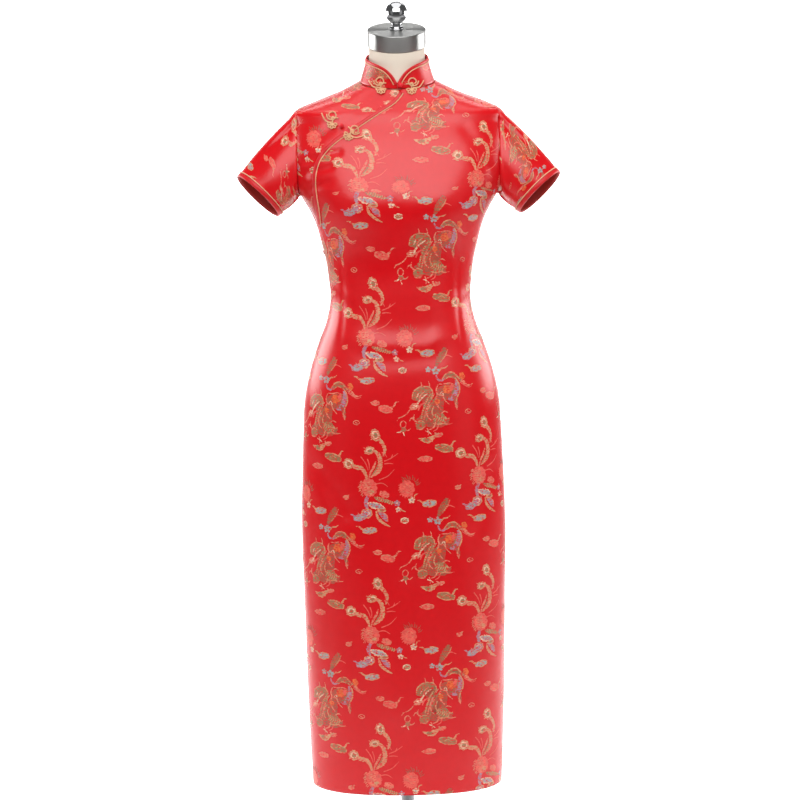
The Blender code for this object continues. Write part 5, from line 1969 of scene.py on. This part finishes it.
@dataclass
class Collar:
    """The stand collar, with rounded front corners that meet at the centre front."""

    tailor: Tailor
    foot: NeckRing = NeckRing(1.4325, 0.0672, 0.0578, 0.000, 0.300)
    top: NeckRing = NeckRing(1.4742, 0.0549, 0.0565, -0.008, 0.320)
    height: float = 0.049
    front_height: float = 0.010
    corner: float = 0.016
    foot_gap: float = 0.5 * MM
    belly: float = 0.6 * MM  # how far it bows in halfway up
    front_gap: float = 0.2 * MM
    lap: float = 3.0 * MM
    wall: float = 1.5 * MM
    columns: int = 190
    rows: int = 12
    reach: float = field(init=False)

    def __post_init__(self) -> None:
        """Measures half the way round the neck."""
        across = (self.foot.half_width**2 + self.foot.half_depth**2) / 2
        self.reach = math.pi * math.sqrt(across)

    def place(self, run: Array, height: Array, lift: float | Array = 0.0) -> Array:
        """Points of the collar.

        Args:
            run: Distances round its foot from the centre front.
            height: Heights up the cloth from its foot.
            lift: How far off the cloth.

        Returns:
            The points.
        """
        angle = math.pi * np.asarray(run, float) / self.reach
        foot = self.foot.place(angle) + np.array([0, 0, self.foot_gap])
        share = (np.asarray(height, float) / self.height)[..., None]
        out = unit(np.stack([np.sin(angle), -np.cos(angle), np.full_like(angle, 0.22)], axis=-1))
        lifted = np.asarray(lift, float)[..., None] * out
        bow = self.belly * np.sin(math.pi * np.clip(share, 0, 1)) * out
        return foot * (1 - share) + self.top.place(angle) * share + lifted - bow

    def edge(self, count: int) -> Array:
        """The upper edge, from the right front end round to the left one.

        Args:
            count: How many points half of it has.

        Returns:
            (run, height) pairs.
        """
        runs = np.linspace(self.front_gap, self.reach, 500)
        rise = 1 - np.exp(-(runs - self.front_gap) / self.corner)
        heights = self.front_height + (self.height - self.front_height) * rise
        half = np.stack([runs, heights], axis=1)
        at = along(half)
        half = sampled(half, at, np.linspace(0, at[-1], count))
        right = half[:-1] * np.array([-1, 1])
        left = half[::-1] - np.array([2 * self.reach, 0])
        return np.concatenate([right, left])

    def build(self) -> None:
        """Makes the collar, its pattern, binding and piping."""
        edge = self.edge(self.columns // 2 + 1)
        shares = np.linspace(0, 1, self.rows)[:, None]
        runs = np.broadcast_to(edge[:, 0], (self.rows, len(edge)))
        heights = edge[:, 1][None] * shares
        points = self.place(runs, heights)
        grid = Grid(points)
        flat = grid.flat()
        faces = turned_from_axis(flat, grid.faces())
        weave = np.stack([runs, heights], axis=-1).reshape(-1, 2)
        self.cloth = self.tailor.cloth("collar_cloth", "collar", flat, faces, weave, BIAS, self.wall)
        self.motif = self.woven()

        def lane(distance: float, lift: float, floor: float = 0.8 * MM) -> Array:
            """A path beside the upper edge, down to just above the foot."""
            inner = left_of(edge, distance)
            return self.place(inner[:, 0], np.maximum(inner[:, 1], floor), lift)

        keep = left_of(edge, EDGE_BINDING_WIDTH)[:, 1] > 1.0 * MM
        lanes = [lane(d * MM, h * MM)[keep] for d, h in BINDING_SECTION]
        self.binding = self.tailor.bind("bias_collar", "collar_binding", lanes)
        line = left_of(edge, EDGE_BINDING_WIDTH + PIPE_GAP + PIPE_RADIUS)
        line = line[line[:, 1] > 0.8 * MM]
        path = self.place(line[:, 0], line[:, 1], PIPE_GAP + PIPE_RADIUS)
        angle = math.pi * line[:, 0] / self.reach
        out = np.stack([np.sin(angle), -np.cos(angle), np.zeros_like(angle)], axis=1)
        self.piping = self.tailor.pipe("piping_collar", "collar_piping", path, out)
        lapped = np.concatenate([self.place(edge[:, 0], np.full(len(edge), -self.lap))[None], points[1:]])
        self.face = Grid(lapped)
        self.size = (2 * self.reach, self.height)

    def woven(self) -> Object:
        """The pattern on the collar, kept clear of the binding."""
        low, high = (-2 * self.reach + 4 * MM, 0.0), (-4 * MM, self.height - 3 * MM)
        flat, heights, faces, looks = self.tailor.brocade.over(low, high, (-0.036, 0.062))
        from_end = np.minimum(np.abs(flat[:, 0]), 2 * self.reach - np.abs(flat[:, 0]))
        rise = 1 - np.exp(-np.maximum(from_end - self.front_gap, 0) / self.corner)
        top = self.front_height + (self.height - self.front_height) * rise - 3 * MM
        over = (flat[:, 1] > top) | (flat[:, 0] < low[0]) | (flat[:, 0] > high[0])
        under = flat[:, 1] < 0
        keep = ~over[faces].any(axis=1) & ~under[faces].all(axis=1)
        points = self.place(flat[:, 0], np.maximum(flat[:, 1], 0), heights)
        faces = turned_from_axis(points, faces)
        return self.tailor.motif("weft_collar", points, faces[keep], flat, looks[keep])


# ---- frogs


@dataclass(frozen=True)
class Frog:
    """A corded fastening ornament: a five-petalled flower, a coil above it, an arch and tendrils."""

    name: str
    middle: Pair
    lean: float
    mirrored: bool
    flower: Pair = (0.0014, -0.0052)
    petal_leans: tuple[float, ...] = (-3.10, -2.35, -1.60, -0.85, -0.10)
    petal_foot: float = 0.2 * MM
    petal_length: float = 8.4 * MM
    petal_width: float = 4.0 * MM
    coil: Pair = (0.0018, 0.0044)
    coil_radius: float = 3.3 * MM
    coil_turns: float = 1.6
    clear: float = 0.4 * MM
    strands: tuple[tuple[Pair, ...], ...] = (
        ((0.0044, 0.0036), (0.0066, 0.0084), (0.0048, 0.0134), (0.0002, 0.0156),
         (-0.0046, 0.0136), (-0.0066, 0.0092), (-0.0036, 0.0056)),
        ((0.0004, 0.0018), (-0.0052, 0.0026), (-0.0088, 0.0056), (-0.0106, 0.0106)),
        ((0.0008, -0.0022), (-0.0064, -0.0026), (-0.0120, 0.0002), (-0.0160, 0.0052),
         (-0.0194, 0.0114)),
        ((0.0034, 0.0044), (0.0072, 0.0056), (0.0106, 0.0054)),
        ((0.0018, 0.0034), (0.0016, -0.0010), (0.0014, -0.0056)),
    )

    def lines(self) -> list[tuple[Array, bool]]:
        """The cords in the frog's own plane, each with whether it is closed."""
        share = np.linspace(0, 1, 60)
        turn = self.coil_turns * math.tau * share
        reach = 0.0009 + (self.coil_radius - 0.0009) * share
        around = np.stack([reach * np.cos(turn), reach * np.sin(turn)], axis=1)
        found = [(around + np.array(self.coil), False)]
        for lean in self.petal_leans:
            ahead = np.array([math.cos(lean), math.sin(lean)])
            aside = np.array([-math.sin(lean), math.cos(lean)])
            t = (math.pi * (np.arange(36) + 0.5) / 36)[:, None]
            u = self.petal_foot + self.petal_length * np.sin(t)
            v = -self.petal_width / 2 * np.sin(2 * t)
            found.append((np.array(self.flower) + u * ahead + v * aside, True))
        found += [(smooth_path(strand, 0.6 * MM), False) for strand in self.strands]
        return found

    def build(self, skin: FrontSkin, cord: TwistedCord, material: Material) -> Object:
        """Lays the frog on the cloth.

        Args:
            skin: What it lies on.
            cord: What it is wound of.
            material: The cord's material.

        Returns:
            The frog.
        """
        cos, sin = math.cos(self.lean), math.sin(self.lean)
        flip = -1 if self.mirrored else 1
        paths = []
        for line, closed in self.lines():
            x, z = line[:, 0] * flip, line[:, 1]
            places = np.stack([self.middle[0] + x * cos - z * sin, self.middle[1] + x * sin + z * cos], 1)
            path = skin.lay(places, cord.radius + self.clear)
            for _ in range(2):  # eased, as cord is too stiff to follow every step beneath it
                ends = path[:1], path[-1:]
                path = np.concatenate([ends[0], (path[:-2] + 2 * path[1:-1] + path[2:]) / 4, ends[1]])
            paths.append((path, np.array([0.0, -1.0, 0.12]), closed))
        made = cord.build("cord_" + self.name, paths, material)
        return finish_piece(made, Slot.GOLD_CORD, self.name)


@dataclass(frozen=True)
class Knot:
    """A ball knot of a fastening, wound of cord."""

    name: str
    middle: Pair
    clear: float
    slot: Slot
    radius: float = 3.6 * MM
    cord: float = 0.95 * MM

    def build(self, skin: FrontSkin, palette: Palette) -> Object:
        """Winds the knot over the cloth.

        Args:
            skin: What it lies on.
            palette: Where its material comes from.

        Returns:
            The winding.
        """
        centre = np.array(skin.touch(*self.middle, self.radius + self.clear))
        t = np.linspace(0, math.tau, 220, endpoint=False)
        reach = self.radius - self.cord
        lat, lon = 0.95 * np.sin(5 * t), 3 * t
        out = np.stack([np.cos(lat) * np.cos(lon), np.cos(lat) * np.sin(lon), np.sin(lat)], axis=1)
        finish = KNOT_SILK if self.slot is Slot.BINDING else CORD
        winding = TwistedCord(self.cord, 2.4 * MM, sides=6, step=0.4 * MM)
        made = winding.build("wound_" + self.name, [(centre + out * reach, out, True)], palette.of(finish))
        core = Turned("core_" + self.name, tuple(
            (reach * math.sin(a), reach * math.cos(a)) for a in np.linspace(0, math.pi, 13)
        ), 20).build(palette.of(finish))
        core.location = Vector(centre)
        finish_piece(core, self.slot)
        return finish_piece(made, self.slot, self.name)


# ---- form, cap and stand


@dataclass
class Turned:
    """A turned solid from (radius, height) points, top to bottom."""

    name: str
    profile: tuple[Pair, ...]
    steps: int = 96

    def build(self, material: Material) -> Object:
        """Makes the solid about its own Z axis.

        Args:
            material: What it is made of.

        Returns:
            The solid.
        """
        angle = np.linspace(0, math.tau, self.steps, endpoint=False)
        rows = np.array([
            np.stack([r * np.cos(angle), r * np.sin(angle), np.full_like(angle, z)], axis=1)
            for r, z in self.profile
        ])
        points = rows.reshape(-1, 3)
        faces = grid_faces(len(rows), self.steps, ring=True)
        outward = points[faces[:, 0]] - np.array([0, 0, rows[..., 2].mean()])
        faces = turned_outward(points, faces, outward)
        made = mesh_object(self.name, points, faces, [material])
        weld = made.modifiers.new("Poles", "WELD")
        weld.merge_threshold = 1e-6
        return made


def rounded(profile: Sequence[Pair], radius: float, steps: int = 5) -> tuple[Pair, ...]:
    """A profile with its inner corners rounded.

    Args:
        profile: Points, of which the ends stay as they are.
        radius: The rounding.
        steps: Points on each rounding.

    Returns:
        The finer profile.
    """
    out = [profile[0]]
    for before, corner, after in zip(profile, profile[1:], profile[2:]):
        a, c, b = (np.array(p, float) for p in (before, corner, after))
        room = min(np.linalg.norm(a - c), np.linalg.norm(b - c)) * 0.45
        start, end = c + unit(a - c) * min(radius, room), c + unit(b - c) * min(radius, room)
        for t in np.linspace(0, 1, steps):
            point = start * (1 - t) ** 2 + 2 * c * t * (1 - t) + end * t**2
            out.append((float(point[0]), float(point[1])))
    return (*out, profile[-1])


@dataclass
class DressForm:
    """The padded torso with its neck."""

    surface: BodySurface
    ease: float = 6.0 * MM
    shoulder_ease: float = 2.1 * MM
    half_width: float = 0.174
    bottom_z: float = 0.735
    underside: Triple = (0.90, 0.88, 0)  # its size against the lowest ring
    shoulder_z: Pair = (1.380, 1.396)  # the shoulder's ridge starts and is full
    shoulder_y: Pair = (0.012, 0.035)  # and ends to the front and the back
    quarter_columns: int = 28
    rows_z: Pair = (0.750, 1.4242)
    neck: tuple[NeckRing, ...] = (
        NeckRing(1.4262, 0.0690, 0.0545, 0.000, 0.290),
        NeckRing(1.4310, 0.0612, 0.0530, -0.0005, 0.295),
        NeckRing(1.4390, 0.0570, 0.0518, -0.0015, 0.300),
        NeckRing(1.4500, 0.0530, 0.0505, -0.003, 0.310),
        NeckRing(1.4640, 0.0510, 0.0498, -0.005, 0.325),
        NeckRing(1.4780, 0.0502, 0.0496, -0.0075, 0.345),
        NeckRing(1.4947, 0.0502, 0.0496, -0.0102, math.tan(math.radians(20))),
    )

    def ring(self, z: float) -> Array:
        """One full ring of the body, before it is moved in.

        Args:
            z: The side height.

        Returns:
            Its points.
        """
        shares = np.linspace(0, 1, self.quarter_columns + 1)
        tilt = float(self.surface.rows(np.array(z))[5])
        points = []
        for facing, sides in ((FRONT, (1, -1)), (BACK, (-1, 1))):
            x, y, run = self.surface.ring(z, facing, cut=False)
            x = x * min(1.0, self.half_width / float(x[-1]))
            at = shares * run[-1]
            px, py = np.interp(at, run, x), np.interp(at, run, y)
            pz = z + tilt * py
            if facing is FRONT:
                py = py - self.surface.bust_lift(px, pz)
            part = np.stack([px, py, pz], axis=1)
            first = part[::-1][:-1] * np.array([sides[0], 1, 1])
            second = part[:-1] * np.array([sides[1], 1, 1])
            points += [first, second]
        return np.concatenate(points)

    def build(self, palette: Palette) -> None:
        """Makes the torso and neck as one piece.

        Args:
            palette: Where its materials come from.
        """
        heights = np.linspace(*self.rows_z, 90)
        rows = np.array([self.ring(float(z)) for z in heights])
        grid = Grid(rows, ring=True)
        flat = grid.flat()
        faces = turned_from_axis(flat, grid.faces())
        normals = BodyCloth.point_normals(flat, faces)
        ridge = smoothstep(*self.shoulder_z, flat[:, 2])
        ridge = ridge * (1 - smoothstep(*self.shoulder_y, np.abs(flat[:, 1])))
        ease = self.ease + (self.shoulder_ease - self.ease) * ridge
        rows = (flat - normals * ease[:, None]).reshape(rows.shape)
        foot = rows[0] * np.array(self.underside) + np.array([0, 0, self.bottom_z])
        under = foot * np.array([0.02, 0.02, 1.0])
        angles = np.arctan2(rows[-1][:, 0], -rows[-1][:, 1] * 1.15)
        sizes = np.array([(n.side_z, n.half_width, n.half_depth, n.centre_y, n.tilt) for n in self.neck])
        fine = smooth_path(sizes, 0.002)
        neck = np.array([NeckRing(*row).place(angles) for row in fine])
        top = neck[-1] * np.array([0.02, 0.02, 1.0]) + np.array([0, -0.0100, 0])
        whole = Grid(np.concatenate([[under, foot], rows, neck, [top]]), ring=True)
        flat = whole.flat()
        faces = turned_from_axis(flat, whole.faces())
        made = mesh_object("form_body", flat, faces, [palette.of(JERSEY)])
        finish_piece(made, Slot.FORM_COVER, "form_torso")


@dataclass(frozen=True)
class CapAndKnob:
    """The form's steel neck cap with the chrome ball on it."""

    radius: float = 0.0525
    height: float = 0.029
    tilt: float = math.radians(20)
    foot: Triple = (0, -0.0105, 1.4952)
    knob_radius: float = 0.020
    knob_centre: float = 0.030
    knob_end: float = math.radians(150)  # where the ball meets its stem, from its top
    edge: float = 1.6 * MM
    seam_gap: float = 0.3 * MM

    def build(self, palette: Palette) -> None:
        """Makes the cap and the knob.

        Args:
            palette: Where its materials come from.
        """
        turn = Matrix.Rotation(self.tilt, 4, "X")
        outline = ((0.0, self.height), (self.radius, self.height), (self.radius, 0.0), (0.0, 0.0))
        cap = Turned("cap_body", rounded(outline, self.edge)).build(palette.of(CAP_STEEL))
        cap.matrix_world = Matrix.Translation(self.foot) @ turn
        finish_piece(cap, Slot.CAP_STEEL, "neck_cap")
        ball = [
            (self.knob_radius * math.sin(t), self.knob_centre + self.knob_radius * math.cos(t))
            for t in np.linspace(0, self.knob_end, 40)
        ]
        stem = rounded(
            ((0.0100, 0.0120), (0.0100, 0.0062), (0.0125, 0.0030), (0.0125, 0.0), (0.0, 0.0)), 1 * MM
        )
        knob = Turned("knob_body", (*ball, *stem)).build(palette.of(CHROME))
        place = Vector(self.foot) + turn @ Vector((0, 0, self.height + self.seam_gap))
        knob.matrix_world = Matrix.Translation(place) @ turn
        finish_piece(knob, Slot.KNOB_CHROME, "cap_knob")


@dataclass(frozen=True)
class Stand:
    """The round base and the pole."""

    base_radius: float = 0.170
    base_thickness: float = 0.012
    pole_radius: float = 0.0125
    top_z: float = 0.735
    seam_gap: float = 0.3 * MM

    def build(self, palette: Palette) -> None:
        """Makes the base and the pole.

        Args:
            palette: Where its materials come from.
        """
        steel = palette.of(STAND_STEEL)
        r, t = self.base_radius, self.base_thickness
        base = Turned("base_body", rounded(((0, t), (r, t), (r, 0), (0, 0)), 3 * MM), 128).build(steel)
        finish_piece(base, Slot.STAND_STEEL, "stand_base")
        foot, top = t + self.seam_gap, self.top_z - self.seam_gap
        outline = (
            (0.0, top), (self.pole_radius, top), (self.pole_radius, foot + 0.036),
            (0.022, foot + 0.030), (0.022, foot), (0.0, foot),
        )
        pole = Turned("pole_body", rounded(outline, 1.2 * MM), 48).build(steel)
        finish_piece(pole, Slot.STAND_STEEL, "stand_pole")


# ---- studio


@dataclass(frozen=True)
class Softbox:
    """A rectangular area light aimed at a point."""

    name: str
    place: Triple
    aim: Triple
    size: Pair
    power: float
    tint: str = "FFFFFF"

    def build(self) -> None:
        """Makes the light."""
        data = bpy.data.lights.new(self.name, "AREA")
        data.shape, data.size, data.size_y = "RECTANGLE", *self.size
        data.energy = self.power
        data.color = linear(self.tint)[:3]
        made = placed(self.name, data)
        made.location = self.place
        look = Vector(self.aim) - Vector(self.place)
        made.rotation_euler = look.to_track_quat("-Z", "Y").to_euler()
        made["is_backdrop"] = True


@dataclass(frozen=True)
class Studio:
    """Camera, pale sweep and soft lights."""

    camera_place: Triple = (0.0, -3.20, 1.22)
    pitch: float = math.radians(6.5)
    roll: float = math.radians(-0.84)
    lens: float = 78.93
    sensor: float = 36.0
    shift: float = -0.0024
    air: float = 0.13  # how bright the air is
    sweep_back: float = 2.2
    sweep_bend: float = 1.0
    lights: tuple[Softbox, ...] = (
        Softbox("key above the lens", (0.0, -2.6, 2.5), (0, -0.1, 1.2), (4.0, 1.9), 88),
        Softbox("scrim overhead", (0.0, -0.8, 3.4), (0, -0.75, 0), (2.4, 2.8), 36),
        Softbox("fill left", (-2.4, -2.2, 1.1), (0, 0, 0.9), (1.4, 2.4), 2),
        Softbox("fill right", (2.4, -2.2, 1.1), (0, 0, 0.9), (1.4, 2.4), 4),
        Softbox("strip left", (-1.7, 0.7, 1.42), (0, 0, 1.1), (1.4, 0.85), 23),
        Softbox("strip right", (1.7, 0.7, 1.42), (0, 0, 1.1), (1.4, 0.85), 23),
        Softbox("backdrop", (0.0, 1.4, 3.0), (0, 3.0, 0.6), (2.4, 0.8), 40),
    )

    def camera(self) -> None:
        """Makes the camera."""
        data = bpy.data.cameras.new("camera")
        data.lens, data.sensor_width, data.shift_x = self.lens, self.sensor, self.shift
        data.dof.use_dof = False
        made = placed("camera", data)
        look = Matrix.Rotation(math.pi / 2 - self.pitch, 4, "X") @ Matrix.Rotation(self.roll, 4, "Z")
        made.matrix_world = Matrix.Translation(self.camera_place) @ look
        bpy.context.scene.camera = made

    def sweep(self) -> None:
        """Makes a floor that curves up into a backdrop: white and glowing behind the dress, and painted a
        darker grey in front as painted shade.
        """
        mix = Mix("painted sweep, white")
        place = mix.add("TexCoord", "Object")
        aside, back = (mix.add("SeparateXYZ", axis, {"Vector": place}) for axis in "XY")
        behind = mix.add("MapRange", "Result", {"Value": back, "From Min": -0.5, "From Max": 0.5})
        near = mix.add("MapRange", "Result", {"Value": back, "From Min": -1.6, "From Max": -0.2})
        # Painted shade: the floor in front is a dark grey that turns to white behind, so the satin reflects a
        # dark floor there.
        tones = {"Fac": near, "Color1": linear("6A6A6A"), "Color2": linear("F6F6F6")}
        aside = mix.add("Math", 0, {0: aside}, operation="ABSOLUTE")
        middle = mix.add("MapRange", "Result", {"Value": aside, "From Min": 1.9, "From Max": 1.3})
        white = mix.finish({
            "Base Color": mix.add("MixRGB", "Color", tones),
            "Emission Strength": mix.add("Math", 0, {0: behind, 1: middle}, operation="MULTIPLY"),
            "Roughness": 0.9,
            "Specular IOR Level": 0.1,
            "Emission Color": linear("FFFFFF"),
        })
        bend = np.linspace(0, math.pi / 2, 24)
        profile = [(-5.0, 0.0)]
        profile += [
            (self.sweep_back + self.sweep_bend * math.sin(a), self.sweep_bend * (1 - math.cos(a)))
            for a in bend
        ]
        profile.append((self.sweep_back + self.sweep_bend, 3.0))
        rows = np.array([[(-5.0, y, z), (5.0, y, z)] for y, z in profile])
        made = mesh_object("sweep", rows.reshape(-1, 3), grid_faces(len(rows), 2), [white])
        made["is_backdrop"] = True

    def build(self) -> None:
        """Sets the studio up."""
        scene = bpy.context.scene
        scene.view_settings.view_transform = "Standard"
        world = bpy.data.worlds.new("studio air")
        world.use_nodes = True
        glow = world.node_tree.nodes["Background"].inputs
        glow["Color"].default_value = linear("FFFFFF")
        glow["Strength"].default_value = self.air
        scene.world = world
        for light in self.lights:
            light.build()
        self.sweep()
        self.camera()


# ---- putting it together

FROGS = (
    Frog("frog_collar_right", (-0.0300, 1.4205), 0.0, False),
    Frog("frog_collar_left", (0.0262, 1.4190), 0.0, True),
    Frog("frog_chest_right", (-0.1160, 1.3605), -0.12, False),
    Frog("frog_chest_left", (-0.0820, 1.3370), -0.70, True),
)
KNOTS = (
    Knot("knot_collar", (0.0046, 1.4225), 0.8 * MM, Slot.BINDING, 5.0 * MM),
    Knot("knot_chest", (-0.0985, 1.3500), 0.4 * MM, Slot.BINDING, 4.0 * MM),
)


def corners() -> list[list[float]]:
    """The shown object's lowest and highest corners."""
    return [list(corner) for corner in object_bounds()]


def main() -> None:
    """Builds the dress, the form and the studio."""
    logging.basicConfig(level=logging.INFO, format="%(message)s")
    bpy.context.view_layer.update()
    palette = Palette()
    tailor = Tailor(BodySurface(), FlapEdge(), Brocade(), palette)
    body = BodyCloth(tailor)
    body.build()
    log.info("front, underlap and back")
    trim = FlapTrim(tailor, body)
    trim.build()
    log.info("flap binding and piping")
    sleeves = [Sleeve(tailor, side) for side in Side]
    for sleeve in sleeves:
        sleeve.build()
        log.info("sleeve %s", sleeve.side.name.lower())
    collar = Collar(tailor)
    collar.build()
    log.info("collar")
    skin = FrontSkin([*body.skin.trees, trim.ramp.tree(), collar.face.tree()])
    cord = TwistedCord(FROG_CORD_RADIUS)
    frogs = [frog.build(skin, cord, palette.of(CORD)) for frog in FROGS]
    knots = [knot.build(skin, palette) for knot in KNOTS]
    log.info("frogs and knots")
    DressForm(tailor.surface).build(palette)
    CapAndKnob().build(palette)
    Stand().build(palette)
    log.info("form, cap, knob and stand")

    wide, tall, area = body.front_size
    wide, tall, area = body.back_size

    Studio().build()


if __name__ == "__main__":
    main()
